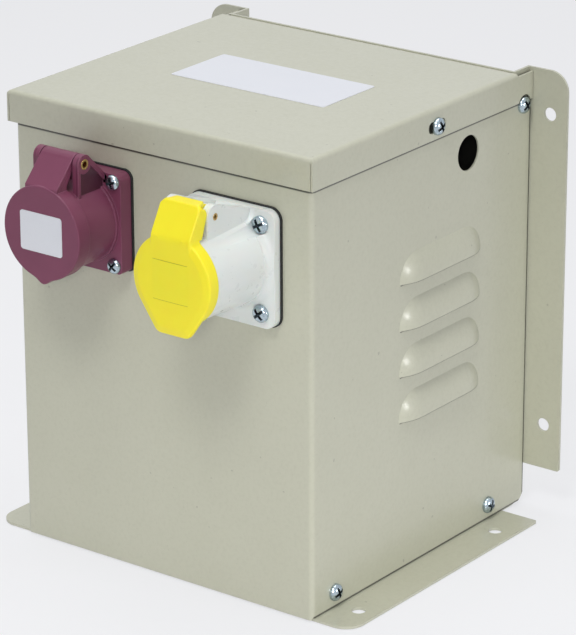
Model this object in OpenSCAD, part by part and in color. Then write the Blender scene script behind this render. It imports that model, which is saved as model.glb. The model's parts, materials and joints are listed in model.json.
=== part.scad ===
// Wall or floor fixing site transformer in a folded steel case, with a 24 V and a 110 V outlet on the front.
// X runs left to right, Y from the front to the wall and Z up. The origin lies on the floor, in the middle
// of the four floor fixing holes.

/* [Case] */
// Outside width of the cover
cover_w = 206; // [203:0.5:222]
// Depth from the face of the cover to the wall flanges
cover_d = 208.5; // [205:0.5:225]
// Height from the floor to the top of the lid
total_h = 268; // [264:1:290]
// Sheet thickness of the cover
cover_t = 1.2; // [1:0.1:1.5]
// Outside radius of the cover's upright bends
cover_bend_r = 3; // [2:0.5:5]
// Gap between the floor and the front edge of the cover
cover_lift = 0.5; // [0.3:0.1:1.5]
// Clearance between folded sheets that lie side by side
sheet_gap = 0.3; // [0.2:0.05:0.4]

/* [Chassis] */
// Sheet thickness of the chassis
chassis_t = 1.5; // [1.2:0.1:2]
// Height of the base panel above the floor, and of the back panel off the wall
stand_off = 15; // [13:0.5:18]
// How far each fixing flange reaches out past the cover
flange_reach = 24.8; // [22:0.2:30]
// Length of the floor flanges
floor_flange_l = 185; // [175:1:190]
// Height of the wall flanges' lower ends above the floor
wall_flange_low = 24.7; // [20:0.1:30]
// Radius of the flanges' rounded outer corners
flange_corner_r = 12; // [8:0.5:14]
// Radius of the chassis sides' lower rear corners
heel_r = 12.5; // [8:0.5:14]
// Distance of the fixing holes out from the cover
fixing_out = 13.25; // [12.5:0.25:14]
// Distance from the cover's face to the front floor holes
floor_hole_in = 25; // [20:0.5:30]
// Distance between the front and rear floor holes
floor_hole_pitch = 135; // [120:1:140]
// Height of the lower wall holes
wall_hole_low = 52; // [45:1:60]
// Distance of the upper wall holes below the top of the lid
wall_hole_down = 26; // [20:1:40]
// Diameter of the fixing holes
fixing_hole_d = 8; // [6:0.5:9]

/* [Lid] */
// Sheet thickness of the lid
lid_t = 1.2; // [1:0.1:1.5]
// Depth of the lid's folded lips
lip_h = 18.2; // [16.5:0.1:22]
// How far the lid stands out past the cover's left side
lid_over_left = 4.5; // [2:0.5:8]
// Outside radius of the lid's folds
lid_bend_r = 2.6; // [2:0.1:4]
// Distance from the cover's face to the lid screws
lid_screw_in = 113; // [95:0.5:125]
// Height of the lid screws above the lips' lower edge
lid_screw_up = 7.4; // [5.5:0.1:9]
// Length of the slots for the lid screws
lid_slot_l = 16; // [12:0.5:20]
// Height of the slots for the lid screws
lid_slot_h = 6.7; // [5.6:0.1:8]
// Width of the plate for ratings on the lid
plate_w = 107; // [80:1:120]
// Depth of the plate for ratings on the lid
plate_d = 49; // [35:1:60]
// Distance from the cover's face to the middle of the plate
plate_in = 99.7; // [70:0.1:120]

/* [Louvres and cable entry] */
// Number of louvres on each side
louvre_count = 4; // [2:1:5]
// Distance of the highest louvre's lower edge below the top of the lid
louvre_down = 94.7; // [85:0.1:100]
// Distance from one louvre to the next
louvre_pitch = 27.3; // [24:0.1:30]
// Length of each louvre
louvre_l = 79; // [60:1:90]
// Height of each louvre
louvre_h = 16.5; // [14:0.5:19]
// How far each louvre stands out
louvre_out = 5; // [4:0.25:6]
// Distance from the cover's face to the middle of the louvres
louvre_in = 120; // [110:1:125]
// Diameter of the cable entry in the right side
entry_d = 20.5; // [16.5:0.5:25.5]
// Distance from the cover's face to the cable entry
entry_in = 146; // [135:1:165]
// Distance of the cable entry below the top of the lid
entry_down = 35.1; // [34:0.1:48]

/* [Case screws] */
// Thread diameter of the case screws
case_screw_d = 5; // [4:0.5:5]
// Head diameter of the case screws
case_head_d = 10; // [8:0.5:10]
// Head height of the case screws
case_head_h = 3.7; // [2.5:0.1:4]
// Height of the low side screws
low_screw_z = 10.8; // [9.8:0.1:11.5]
// Distance from the cover's face to the front low screws
low_screw_front = 20.6; // [15:0.5:30]
// Distance from the cover's face to the rear low screws
low_screw_rear = 171; // [150:1:180]
// Height of the upper side screws below the top of the lid
top_screw_down = 20.5; // [19:0.5:22]
// Distance of the upper side screws in front of the wall flange
top_screw_back = 8.4; // [7.6:0.1:9]

/* [24 V outlet] */
// Distance from the cover's left side to the outlet's axis
outlet_24v_in = 56.7; // [52:0.1:62]
// Distance of the outlet's axis below the top of the lid
outlet_24v_down = 59.8; // [57:0.1:68]
// Width of the outlet's flange
flange_24v_w = 54; // [53:0.5:58]
// Height of the outlet's flange
flange_24v_h = 57.5; // [57:0.5:62]
// How far the barrel's shoulder stands out from the cover
barrel_24v_reach = 36; // [34:0.5:42]
// Outside radius of the barrel
barrel_24v_r = 25; // [24.6:0.1:25.4]
// Distance of the closed lid's face in front of the barrel's shoulder
lid_24v_past = 9.75; // [8.5:0.25:14]
// Outside radius of the lid
lid_24v_r = 26.9; // [26.5:0.1:27.5]
// Height of the hinge pin above the outlet's axis
hinge_24v_up = 37.6; // [37:0.2:39]
// Distance of the hinge pin behind the barrel's shoulder
hinge_24v_back = 9; // [8.5:0.1:10]

/* [110 V outlet] */
// Distance from the cover's right side to the outlet's axis
outlet_110v_in = 50.1; // [48:0.5:56]
// Distance of the middle of the outlet's flange below the top of the lid
outlet_110v_down = 66; // [64:0.5:70]
// Width of the outlet's flange
flange_110v_w = 60; // [59:0.5:64]
// Height of the outlet's flange
flange_110v_h = 67; // [66:0.5:72]
// Height of the barrel's axis above the middle of the flange
axis_110v_up = 3; // [2.5:0.25:3.5]
// How far the barrel's shoulder stands out from the cover
barrel_110v_reach = 48.6; // [48:0.2:52]
// Outside radius of the barrel at its front
barrel_110v_r = 25; // [24.6:0.1:25.2]
// Distance of the closed lid's face in front of the barrel's shoulder
lid_110v_past = 9.4; // [9.2:0.2:12]
// Outside radius of the lid
lid_110v_r = 26; // [25.8:0.1:26.5]
// Height of the hinge pin above the barrel's axis
hinge_110v_up = 33.2; // [33:0.1:34]
// Distance of the hinge pin behind the barrel's shoulder
hinge_110v_back = 12.6; // [11.6:0.1:12.8]

/* [Transformer] */
// Width of the laminated core
core_w = 150; // [132:3:156]
// Thickness of the stack of laminations
core_stack = 75; // [60:1:80]
// Distance of the core's middle behind the middle of the floor holes
core_back = 12; // [8:1:14]
// Leg width of the clamp angles
clamp_leg = 24; // [20:1:24]
// Thickness of the clamp angles
clamp_t = 3; // [2:0.5:4]
// Thread diameter of the core and foot bolts
core_bolt_d = 6; // [5:0.5:6]

/* [Hidden] */
$fn = 64;

// Shared values
overrun = 1;
side_x = cover_w / 2;
front_y = -(floor_hole_in + floor_hole_pitch / 2);
rear_y = front_y + cover_d;
wall_y = rear_y + chassis_t;
web_y = rear_y - stand_off;
deck_z = stand_off + chassis_t;
return_x = side_x - cover_t - sheet_gap;
return_in_x = return_x - chassis_t;
flange_x = side_x + flange_reach;
chassis_front = front_y + cover_t + sheet_gap;
sill_front = front_y + max(cover_bend_r, cover_t + sheet_gap);
lid_low = total_h - lip_h;
cover_top = total_h - max(lid_bend_r, lid_t) - sheet_gap;
cover_side_low = chassis_t + sheet_gap;
cover_rear = rear_y - sheet_gap;
lid_right = side_x + sheet_gap + lid_t;
lid_left = -side_x - lid_over_left;
lid_front = front_y - sheet_gap - lid_t;
lid_panel_rear = web_y - sheet_gap;
lid_rear_drop = 2.2;
lid_corner_slit = 0.4;
screw_gap = 0.25;
thread_gap = 0.05;
top_screw_z = total_h - top_screw_down;
top_screw_y = rear_y - top_screw_back;
lid_screw_y = front_y + lid_screw_in;
lid_screw_z = lid_low + lid_screw_up;
sharp_r = 1.5;
outlet_24v_z = total_h - outlet_24v_down;
lid_24v_reach = barrel_24v_reach + lid_24v_past;
hinge_24v_out = barrel_24v_reach - hinge_24v_back;
outlet_110v_z = total_h - outlet_110v_down;
lid_110v_reach = barrel_110v_reach + lid_110v_past;
hinge_110v_out = barrel_110v_reach - hinge_110v_back;

// Plan with two rounded front corners, front edge on the X axis
module front_rounded(w, d, r) {
    translate([-w / 2, r]) square([w, d - r]);
    translate([r - w / 2, 0]) square([w - 2 * r, d]);
    for (s = [-1, 1]) translate([s * (w / 2 - r), r]) circle(r);
}

// Rectangle about the origin with four rounded corners
module rounded_rect(w, h, r) {
    square([w - 2 * r, h], center = true);
    square([w, h - 2 * r], center = true);
    for (x = [-1, 1], y = [-1, 1]) translate([x * (w / 2 - r), y * (h / 2 - r)]) circle(r);
}

// Rectangle from the origin whose two corners away from the Y axis are rounded by ra, near it, and rb
module tab(w, l, ra, rb) {
    translate([0, ra]) square([w, l - ra - rb]);
    square([w - ra, l / 2]);
    translate([0, l / 2]) square([w - rb, l / 2]);
    translate([w - ra, ra]) circle(ra);
    translate([w - rb, l - rb]) circle(rb);
}

// Lays a plan drawn in Y and Z against the plane X = x, with its thickness t towards +X
module in_yz(x, t) {
    translate([x, 0, 0]) rotate([90, 0, 90]) linear_extrude(t) children();
}

// Stands a plan drawn in X and Z on the plane Y = y, with its thickness t towards +Y
module in_xz(y, t) {
    translate([0, y + t, 0]) rotate([90, 0, 0]) linear_extrude(t) children();
}

// Chassis
module chassis_side_plan() {
    difference() {
        union() {
            translate([sill_front, 0]) square([wall_y - sill_front, deck_z]);
            translate([web_y, 0]) square([wall_y - web_y, total_h]);
        }
        translate([wall_y - heel_r, -overrun]) square([heel_r + overrun, heel_r + overrun]);
    }
    translate([wall_y - heel_r, heel_r]) circle(heel_r);
}

module chassis_half() {
    difference() {
        union() {
            in_yz(return_in_x, chassis_t) chassis_side_plan();
            translate([return_in_x, chassis_front, 0]) linear_extrude(chassis_t)
                tab(flange_x - return_in_x, floor_flange_l, flange_corner_r, sharp_r);
            translate([return_in_x, 0, wall_flange_low]) in_xz(rear_y, chassis_t)
                tab(flange_x - return_in_x, total_h - wall_flange_low, sharp_r, flange_corner_r);
        }
        for (s = [-1, 1]) {
            translate([side_x + fixing_out, s * floor_hole_pitch / 2, -overrun])
                cylinder(h = chassis_t + 2 * overrun, d = fixing_hole_d);
        }
        for (z = [wall_hole_low, total_h - wall_hole_down]) {
            translate([side_x + fixing_out, wall_y + overrun, z]) rotate([90, 0, 0])
                cylinder(h = chassis_t + 2 * overrun, d = fixing_hole_d);
        }
        for (p = cover_screw_places) {
            translate([return_in_x - overrun, p[0], p[1]]) rotate([0, 90, 0])
                cylinder(h = chassis_t + 2 * overrun, d = case_screw_d + 2 * screw_gap);
        }
    }
}

cover_screw_places = [
    [front_y + low_screw_front, low_screw_z],
    [front_y + low_screw_rear, low_screw_z],
    [top_screw_y, top_screw_z]];

module chassis() {
    color("#aeb09a") difference() {
        union() {
            chassis_half();
            mirror([1, 0, 0]) chassis_half();
            translate([-return_x, sill_front, stand_off])
                cube([2 * return_x, web_y + chassis_t - sill_front, chassis_t]);
            translate([-return_x, web_y, stand_off])
                cube([2 * return_x, chassis_t, total_h - stand_off]);
        }
        for (p = foot_places) {
            translate([p[0], p[1], stand_off - overrun])
                cylinder(h = chassis_t + 2 * overrun, d = core_bolt_d + 2 * screw_gap);
        }
        translate([earth_x, earth_y, stand_off - overrun])
            cylinder(h = chassis_t + 2 * overrun, d = earth_d + 2 * thread_gap);
    }
}

// Cover with louvres, outlet cut-outs and the cable entry
louvre_r = (louvre_h * louvre_h + louvre_out * louvre_out) / (2 * louvre_out);
louvre_base_r = louvre_h;

// Long round-ended form about the louvre's lower edge; x is measured out from the cover's side
module louvre_form(r) {
    run = louvre_l / 2 - louvre_base_r;
    translate([louvre_out - louvre_r, 0, 0]) {
        translate([0, run, 0]) rotate([90, 0, 0]) cylinder(h = 2 * run, r = r);
        for (s = [-1, 1]) translate([0, s * run, 0]) sphere(r);
    }
}

module louvre_places() {
    for (i = [0:louvre_count - 1]) {
        translate([side_x, front_y + louvre_in, total_h - louvre_down - i * louvre_pitch]) children();
    }
}

module louvre_skin() {
    intersection() {
        difference() {
            louvre_form(louvre_r);
            louvre_form(louvre_r - cover_t);
        }
        translate([-cover_t / 2, -louvre_l / 2 - overrun, 0])
            cube([louvre_out + cover_t, louvre_l + 2 * overrun, louvre_h + overrun]);
    }
}

module louvre_hole() {
    intersection() {
        louvre_form(louvre_r - cover_t);
        translate([-cover_t - overrun, -louvre_l / 2 - overrun, 0])
            cube([cover_t + louvre_out + 2 * overrun, louvre_l + 2 * overrun, louvre_h + overrun]);
    }
}

module cover_side_holes() {
    for (p = cover_screw_places) {
        translate([side_x - cover_t - overrun, p[0], p[1]]) rotate([0, 90, 0])
            cylinder(h = cover_t + 2 * overrun, d = case_screw_d + 2 * screw_gap);
    }
    translate([side_x - cover_t - overrun, lid_screw_y, lid_screw_z]) rotate([0, 90, 0])
        cylinder(h = cover_t + 2 * overrun, d = case_screw_d + 2 * screw_gap);
    louvre_places() louvre_hole();
}

module cover() {
    color("#bcbdaf") {
        difference() {
            translate([0, front_y, cover_lift]) linear_extrude(cover_top - cover_lift) difference() {
                front_rounded(cover_w, cover_rear - front_y, cover_bend_r);
                translate([0, cover_t]) front_rounded(cover_w - 2 * cover_t, cover_d, cover_bend_r - cover_t);
            }
            translate([-side_x - overrun, front_y + cover_t, cover_lift - overrun])
                cube([cover_w + 2 * overrun, cover_d, cover_side_low - cover_lift + overrun]);
            for (s = [0, 1]) mirror([s, 0, 0]) {
                cover_side_holes();
                cover_heel_cut();
            }
            translate([side_x - cover_t - overrun, front_y + entry_in, total_h - entry_down]) rotate([0, 90, 0])
                cylinder(h = cover_t + 2 * overrun, d = entry_d);
            at_outlet_24v() panel_cut(panel_hole_24v_r, 0, screw_x_24v, screw_y_24v, screw_24v_d);
            at_outlet_110v()
                panel_cut(panel_hole_110v_r, axis_110v_up, screw_x_110v, screw_y_110v, screw_110v_d);
        }
        for (s = [0, 1]) mirror([s, 0, 0]) louvre_places() louvre_skin();
    }
}

// Takes off the cover's lower rear corner, level with the chassis behind it
module cover_heel_cut() {
    difference() {
        translate([side_x - cover_t - overrun, wall_y - heel_r, cover_side_low - overrun])
            cube([cover_t + 2 * overrun, heel_r + overrun, heel_r - cover_side_low + overrun]);
        translate([side_x - cover_t - 2 * overrun, wall_y - heel_r, heel_r]) rotate([0, 90, 0])
            cylinder(h = cover_t + 4 * overrun, r = heel_r);
    }
}

// Lid
module lid_side_profile(inset) {
    x0 = lid_left + inset;
    x1 = lid_right - inset;
    r = lid_bend_r - inset;
    top = total_h - inset;
    low = lid_low - (inset > 0 ? overrun : 0);
    translate([x0, low]) square([x1 - x0, top - r - low]);
    translate([x0 + r, low]) square([x1 - x0 - 2 * r, top - low]);
    translate([x0 + r, top - r]) circle(r);
    translate([x1 - r, top - r]) circle(r);
}

module lid_front_profile(inset) {
    y0 = lid_front + inset;
    y1 = lid_panel_rear - inset;
    r = lid_bend_r - inset;
    top = total_h - inset;
    low = lid_low - (inset > 0 ? overrun : 0);
    translate([y0, low]) square([y1 - y0, top - r - low]);
    translate([y0 + r, low]) square([y1 - y0 - 2 * r, top - low]);
    translate([y0 + r, top - r]) circle(r);
    translate([y1 - r, top - r]) circle(r);
}

module lid_block(inset) {
    intersection() {
        in_xz(lid_front, lid_panel_rear - lid_front) lid_side_profile(inset);
        in_yz(lid_left - overrun, lid_right - lid_left + 2 * overrun) lid_front_profile(inset);
    }
}

module lid_rear_wing(x) {
    translate([x, lid_panel_rear - lid_bend_r, lid_low])
        cube([lid_t, cover_rear - lid_panel_rear + lid_bend_r, lip_h - lid_rear_drop]);
}

module lid_lip_cuts(x) {
    translate([x - overrun, lid_screw_y, lid_screw_z]) rotate([90, 0, 90])
        linear_extrude(lid_t + 2 * overrun) rounded_rect(lid_slot_l, lid_slot_h, lid_slot_h / 2 - sheet_gap);
    translate([x - overrun, top_screw_y, top_screw_z]) rotate([0, 90, 0])
        cylinder(h = lid_t + 2 * overrun, d = notch_d);
}

notch_d = 12.6;

module top_lid() {
    color("#c6c8bd") difference() {
        union() {
            difference() {
                lid_block(0);
                lid_block(lid_t);
            }
            lid_rear_wing(lid_left);
            lid_rear_wing(lid_right - lid_t);
        }
        lid_lip_cuts(lid_left);
        lid_lip_cuts(lid_right - lid_t);
        for (x = [[lid_left + lid_t, sheet_gap - return_x], [return_x - sheet_gap, lid_right - lid_t]]) {
            translate([x[0], lid_panel_rear - lid_t - sheet_gap, lid_low - overrun])
                cube([x[1] - x[0], lid_t + sheet_gap + overrun, cover_top + overrun - lid_low]);
        }
        for (x = [lid_left + lid_t, lid_right - lid_t - lid_corner_slit]) {
            translate([x, lid_front - overrun, lid_low - overrun])
                cube([lid_corner_slit, lid_t + overrun, lip_h - lid_bend_r + overrun]);
        }
    }
}

plate_t = 0.3;
plate_corner_r = 1.5;
plate_right = 1.2;

module rating_plate() {
    color("#e6e8ea") translate([plate_right, front_y + plate_in, total_h]) linear_extrude(plate_t)
        rounded_rect(plate_w, plate_d, plate_corner_r);
}

// Screws and nuts. A screw's head sits on the plane z = 0 and its thread points down
module pan_screw(d, head_d, head_h, length) {
    rim_h = head_h / 3;
    dome_r = (head_d * head_d / 4 + (head_h - rim_h) * (head_h - rim_h)) / (2 * (head_h - rim_h));
    difference() {
        union() {
            cylinder(h = rim_h, d = head_d);
            intersection() {
                translate([0, 0, head_h - dome_r]) sphere(dome_r);
                cylinder(h = head_h, d = head_d);
            }
            translate([0, 0, -length]) cylinder(h = length + rim_h, d = d);
        }
        translate([0, 0, head_h / 2]) linear_extrude(head_h) {
            square([head_d * recess_share, head_d * blade_share], center = true);
            square([head_d * blade_share, head_d * recess_share], center = true);
        }
    }
}

recess_share = 0.56;
blade_share = 0.13;
nut_af_share = 1.6;
nut_h_share = 0.8;

module hex_screw(d, length) {
    cylinder(h = d * hex_head_share, r = d * nut_af_share / sqrt(3), $fn = 6);
    translate([0, 0, -length]) cylinder(h = length + overrun, d = d);
}

hex_head_share = 0.65;
pan_h_share = 0.7;

module hex_nut(d) {
    difference() {
        cylinder(h = d * nut_h_share, r = d * nut_af_share / sqrt(3), $fn = 6);
        translate([0, 0, -overrun]) cylinder(h = d * nut_h_share + 2 * overrun, d = d + 2 * thread_gap);
    }
}

case_screw_l = 11;
lid_screw_l = 9;
screw_turn_share = 1 / 8;

// Both sides of a place on the right side of the case, with z pointing out
module both_sides(x, y, z) {
    for (s = [0, 1]) mirror([s, 0, 0]) translate([x, y, z]) rotate([0, 90, 0]) rotate(30) children();
}

module cover_screws() {
    color("#c9ced2") for (p = cover_screw_places) {
        both_sides(side_x, p[0], p[1]) rotate(360 * screw_turn_share)
            pan_screw(case_screw_d, case_head_d, case_head_h, case_screw_l);
    }
}

module cover_weld_nuts() {
    color("#9aa0a4") for (p = cover_screw_places) {
        both_sides(return_in_x, p[0], p[1]) mirror([0, 0, 1]) hex_nut(case_screw_d);
    }
}

module lid_screws() {
    color("#c9ced2") {
        translate([lid_right, lid_screw_y, lid_screw_z]) rotate([0, 90, 0])
            pan_screw(case_screw_d, case_head_d, case_head_h, lid_screw_l);
        translate([lid_left, lid_screw_y, lid_screw_z]) rotate([0, -90, 0])
            pan_screw(case_screw_d, case_head_d, case_head_h, lid_screw_l + lid_over_left);
    }
}

module lid_weld_nuts() {
    color("#9aa0a4") both_sides(side_x - cover_t, lid_screw_y, lid_screw_z) mirror([0, 0, 1])
        hex_nut(case_screw_d);
}

// Outlets. In an outlet's own frame x is to the right, y is up from the middle of its flange and z points
// out from the face of the cover
module at_outlet_24v() {
    translate([outlet_24v_in - side_x, front_y, outlet_24v_z]) rotate([90, 0, 0]) children();
}

module at_outlet_110v() {
    translate([side_x - outlet_110v_in, front_y, outlet_110v_z]) rotate([90, 0, 0]) children();
}

gasket_t = 1.5;
gasket_proud = 0.7;
panel_gap = 0.5;
rear_body_l = 20;
pin_gap = 0.05;
seat_gap = 0.3;
side_play = 0.3;

screw_24v_d = 4;
head_24v_d = 8.8;
head_24v_h = 3;
screw_24v_in = [5, 4.6];
screw_x_24v = flange_24v_w / 2 - screw_24v_in[0];
screw_y_24v = flange_24v_h / 2 - screw_24v_in[1];
flange_24v_t = 9;
corner_24v_r = 5;
corner_24v_low_r = 2.5;
bore_24v_r = 21;
core_24v_r = 16.2;
rear_24v_r = 22;
panel_hole_24v_r = rear_24v_r + panel_gap;

screw_110v_d = 5;
head_110v_d = 10;
head_110v_h = 3.4;
screw_110v_in = [9.1, 8.3];
screw_x_110v = flange_110v_w / 2 - screw_110v_in[0];
screw_y_110v = flange_110v_h / 2 - screw_110v_in[1];
flange_110v_t = 4.8;
corner_110v_r = 6.5;
bore_110v_r = 20.8;
core_110v_r = 16;
rear_110v_r = 22;
panel_hole_110v_r = rear_110v_r + panel_gap;

module screw_places(x, y) {
    for (i = [-1, 1], j = [-1, 1]) translate([i * x, j * y, 0]) children();
}

module panel_cut(r, up, x, y, d) {
    translate([0, up, -cover_t - overrun]) cylinder(h = cover_t + 2 * overrun, r = r);
    screw_places(x, y) translate([0, 0, -cover_t - overrun])
        cylinder(h = cover_t + 2 * overrun, d = d + 2 * screw_gap);
}

// Rectangle about the origin whose upper corners are rounded by r and lower ones by low_r
module flange_plan(w, h, r, low_r) {
    translate([-w / 2, low_r - h / 2]) square([w, h - r - low_r]);
    translate([r - w / 2, 0]) square([w - 2 * r, h / 2]);
    translate([low_r - w / 2, -h / 2]) square([w - 2 * low_r, h / 2]);
    for (s = [-1, 1]) {
        translate([s * (w / 2 - r), h / 2 - r]) circle(r);
        translate([s * (w / 2 - low_r), low_r - h / 2]) circle(low_r);
    }
}

module outlet_gasket(w, h, corner, low_corner, r, up, x, y, d) {
    linear_extrude(gasket_t) difference() {
        flange_plan(w + 2 * gasket_proud, h + 2 * gasket_proud, corner + gasket_proud,
            low_corner + gasket_proud);
        translate([0, up]) circle(r);
        screw_places(x, y) circle(d = d + 2 * screw_gap);
    }
}

// Flange with its cylindrical body behind the panel and the bore that takes the plug
module outlet_body(w, h, corner, low_corner, t, rear_r, up, bore, reach) {
    difference() {
        union() {
            translate([0, 0, gasket_t]) linear_extrude(t) flange_plan(w, h, corner, low_corner);
            translate([0, up, -rear_body_l]) cylinder(h = rear_body_l + gasket_t + t / 2, r = rear_r);
            children();
        }
        translate([0, up, -rear_body_l - overrun])
            cylinder(h = rear_body_l + reach + 2 * overrun + t, r = bore);
    }
}

// Contact carrier: a disc that fills the body behind the panel and a core that stands forward in the bore
module outlet_insert(bore, core, up, core_front, angles, key_angle) {
    difference() {
        translate([0, up, insert_rear]) {
            cylinder(h = insert_disc_t, r = bore - press_gap);
            cylinder(h = core_front - insert_rear, r = core);
        }
        translate([0, up, 0]) for (a = angles) rotate(a) translate([contact_ring_r, 0, 0]) {
            translate([0, 0, insert_rear - overrun])
                cylinder(h = core_front - contact_back_l - insert_rear + overrun, r = contact_r + press_gap);
            cylinder(h = core_front + overrun, r = contact_bore_r);
        }
        translate([0, up, insert_rear + insert_disc_t]) rotate(key_angle) translate([core, 0, 0])
            cylinder(h = core_front - insert_rear, r = key_r);
    }
}

insert_back_l = 14;
insert_rear = -insert_back_l;
insert_disc_t = 6;
press_gap = 0.05;
contact_ring_r = 9.8;
contact_r = 3.6;
contact_bore_r = 2.6;
contact_tail_l = 14;
contact_back_l = 2;
key_r = 2.4;
terminal_screw_d = 3.5;
terminal_in_l = 4;
terminal_screw_back = insert_rear - contact_tail_l + terminal_in_l;
terminal_slot = 0.8;
contacts_24v_shares = [0, 1] / 2;
contacts_110v_shares = [3, 7, 11] / 12;
angles_24v = 360 * contacts_24v_shares;
angles_110v = 360 * contacts_110v_shares;
lead_r = 1.5;

module outlet_contacts(up, core_front, angles) {
    translate([0, up, 0]) for (a = angles) rotate(a) translate([contact_ring_r, 0, 0]) difference() {
        translate([0, 0, insert_rear - contact_tail_l])
            cylinder(h = core_front - contact_back_l - insert_rear + contact_tail_l, r = contact_r);
        translate([0, 0, insert_rear + insert_disc_t]) cylinder(h = core_front, r = contact_bore_r);
        translate([0, 0, insert_rear - contact_tail_l - overrun])
            cylinder(h = contact_tail_l - contact_r + overrun, r = lead_r + seat_gap);
        translate([0, 0, terminal_screw_back]) rotate([0, 90, 0])
            cylinder(h = contact_r + overrun, d = terminal_screw_d + 2 * thread_gap);
    }
}

module outlet_terminal_screws(up, angles) {
    translate([0, up, 0]) for (a = angles) rotate(a)
        translate([contact_ring_r + lead_r + seat_gap, 0, terminal_screw_back]) rotate([0, 90, 0])
            grub_screw(terminal_screw_d, contact_r);
}

// Slotted headless screw along z
module grub_screw(d, length) {
    difference() {
        cylinder(h = length, d = d);
        translate([0, 0, length - terminal_slot]) linear_extrude(2 * terminal_slot)
            square([d + overrun, terminal_slot], center = true);
    }
}

module outlet_nuts(x, y, d) {
    screw_places(x, y) translate([0, 0, -cover_t]) mirror([0, 0, 1]) hex_nut(d);
}

module outlet_flange_screws(x, y, d, head, head_h, seat, length) {
    screw_places(x, y) translate([0, 0, seat]) pan_screw(d, head, head_h, length);
}

// Hollow hinge pin along X
module hinge_pin(up, out, r, hollow_r, length) {
    translate([-length / 2, up, out]) rotate([0, 90, 0]) difference() {
        cylinder(h = length, r = r);
        translate([0, 0, -overrun]) cylinder(h = length + 2 * overrun, r = hollow_r);
    }
}

// Coiled closing spring about a hinge pin, as a swept wire of one unbroken run
function coil_ring(p, q, r, sides) = let (
    t = (q - p) / norm(q - p),
    w = cross(t, [1, 0, 0]),
    u = w / norm(w),
    v = cross(t, u)) [for (k = [0:sides - 1]) p + r * (cos(360 * k / sides) * u + sin(360 * k / sides) * v)];

module swept_wire(path, r, sides) {
    n = len(path);
    points = [for (i = [0:n - 1]) each
        (i < n - 1 ? coil_ring(path[i], path[i + 1], r, sides)
            : [for (p = coil_ring(path[n - 2], path[n - 1], r, sides)) p + path[n - 1] - path[n - 2]])];
    walls = [for (i = [0:n - 2], k = [0:sides - 1], h = [0, 1])
        let (a = i * sides + k, b = i * sides + (k + 1) % sides)
        h == 0 ? [a, b, b + sides] : [a, b + sides, a + sides]];
    low = [for (k = [1:sides - 2]) [0, k + 1, k]];
    high = [for (k = [1:sides - 2]) let (z = (n - 1) * sides) [z, z + k, z + k + 1]];
    polyhedron(points, concat(walls, low, high));
}

spring_turns = 6;
spring_steps = 12;
spring_sides = 6;
wire_pitch_share = 3.4;

module closing_spring(up, out, coil_r, wire_r) {
    pitch = wire_r * wire_pitch_share;
    count = spring_turns * spring_steps;
    translate([-pitch * spring_turns / 2, up, out]) swept_wire(
        [for (i = [0:count]) let (a = 360 * i / spring_steps)
            [pitch * i / spring_steps, coil_r * cos(a), coil_r * sin(a)]], wire_r, spring_sides);
}

// 24 V outlet
ear_24v_r = 5.4;
ear_24v_t = 4.2;
ear_24v_rib = 2;
ear_24v_hollow = 1.2;
ear_24v_gap = 23.6;
pin_24v_r = 2.9;
pin_24v_hollow_r = 1.8;
pin_proud = 0.2;
pin_24v_l = ear_24v_gap + 2 * (ear_24v_t + pin_proud);
coil_24v_r = 3.7;
wire_24v_r = 0.4;
knuckle_24v_wall = 0.9;
collar_24v_r = 23.3;
collar_24v_l = 3.2;
ring_24v_r = 25.7;
ring_24v_l = 2;
skirt_24v_wall = 1.8;
lid_24v_face_t = 2.4;
lug_24v_w = 4.8;
neck_24v_w = ear_24v_gap - 4 * side_play;
neck_24v_t = 2.4;
flange_24v_front = gasket_t + flange_24v_t;
lid_24v_back = barrel_24v_reach + seat_gap;

module outlet_24v_ear_plan() {
    // Drawn with x out from the cover and y up
    translate([hinge_24v_out, hinge_24v_up]) circle(ear_24v_r);
    polygon([
        [flange_24v_front - ear_24v_t / 2, flange_24v_h / 2 - ear_24v_t / 2],
        [hinge_24v_out - ear_24v_r * ear_back_share, hinge_24v_up + ear_24v_r * ear_top_share],
        [hinge_24v_out + ear_24v_r, hinge_24v_up],
        [hinge_24v_out + ear_24v_r, bore_24v_r - ear_24v_t],
        [flange_24v_front - ear_24v_t / 2, bore_24v_r - ear_24v_t]]);
}

ear_back_share = 0.6;
ear_top_share = 0.8;
web_foot_share = 1.2;

// Hollow in the ear's outer side, between its front rib, its sloping top rib and the barrel
module outlet_24v_ear_hollow() {
    difference() {
        polygon([
            [flange_24v_front, flange_24v_h / 2 - ear_24v_t / 2 - ear_24v_rib],
            [hinge_24v_out - ear_24v_r * ear_back_share,
                hinge_24v_up + ear_24v_r * ear_top_share - 2 * ear_24v_rib],
            [hinge_24v_out + ear_24v_r - ear_24v_rib, hinge_24v_up],
            [hinge_24v_out + ear_24v_r - ear_24v_rib, bore_24v_r - ear_24v_t],
            [flange_24v_front, bore_24v_r - ear_24v_t]]);
        translate([hinge_24v_out, hinge_24v_up]) circle(ear_24v_r);
    }
}

// Web between the ears, behind the lid's hinge
module outlet_24v_web_plan() {
    polygon([
        [flange_24v_front - ear_24v_t / 2, bore_24v_r],
        [hinge_24v_out - ear_24v_r, bore_24v_r],
        [hinge_24v_out - ear_24v_r * web_foot_share, hinge_24v_up - ear_24v_r],
        [flange_24v_front - ear_24v_t / 2, flange_24v_h / 2 - ear_24v_t]]);
}

// Turns a plan drawn with x out and y up into a slab of width w across the outlet
module across(w) {
    translate([w / 2, 0, 0]) rotate([0, -90, 0]) linear_extrude(w) children();
}

module outlet_24v_gasket() {
    color("#1c1d1f") at_outlet_24v() outlet_gasket(flange_24v_w, flange_24v_h, corner_24v_r,
        corner_24v_low_r, panel_hole_24v_r, 0, screw_x_24v, screw_y_24v, screw_24v_d);
}

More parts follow.
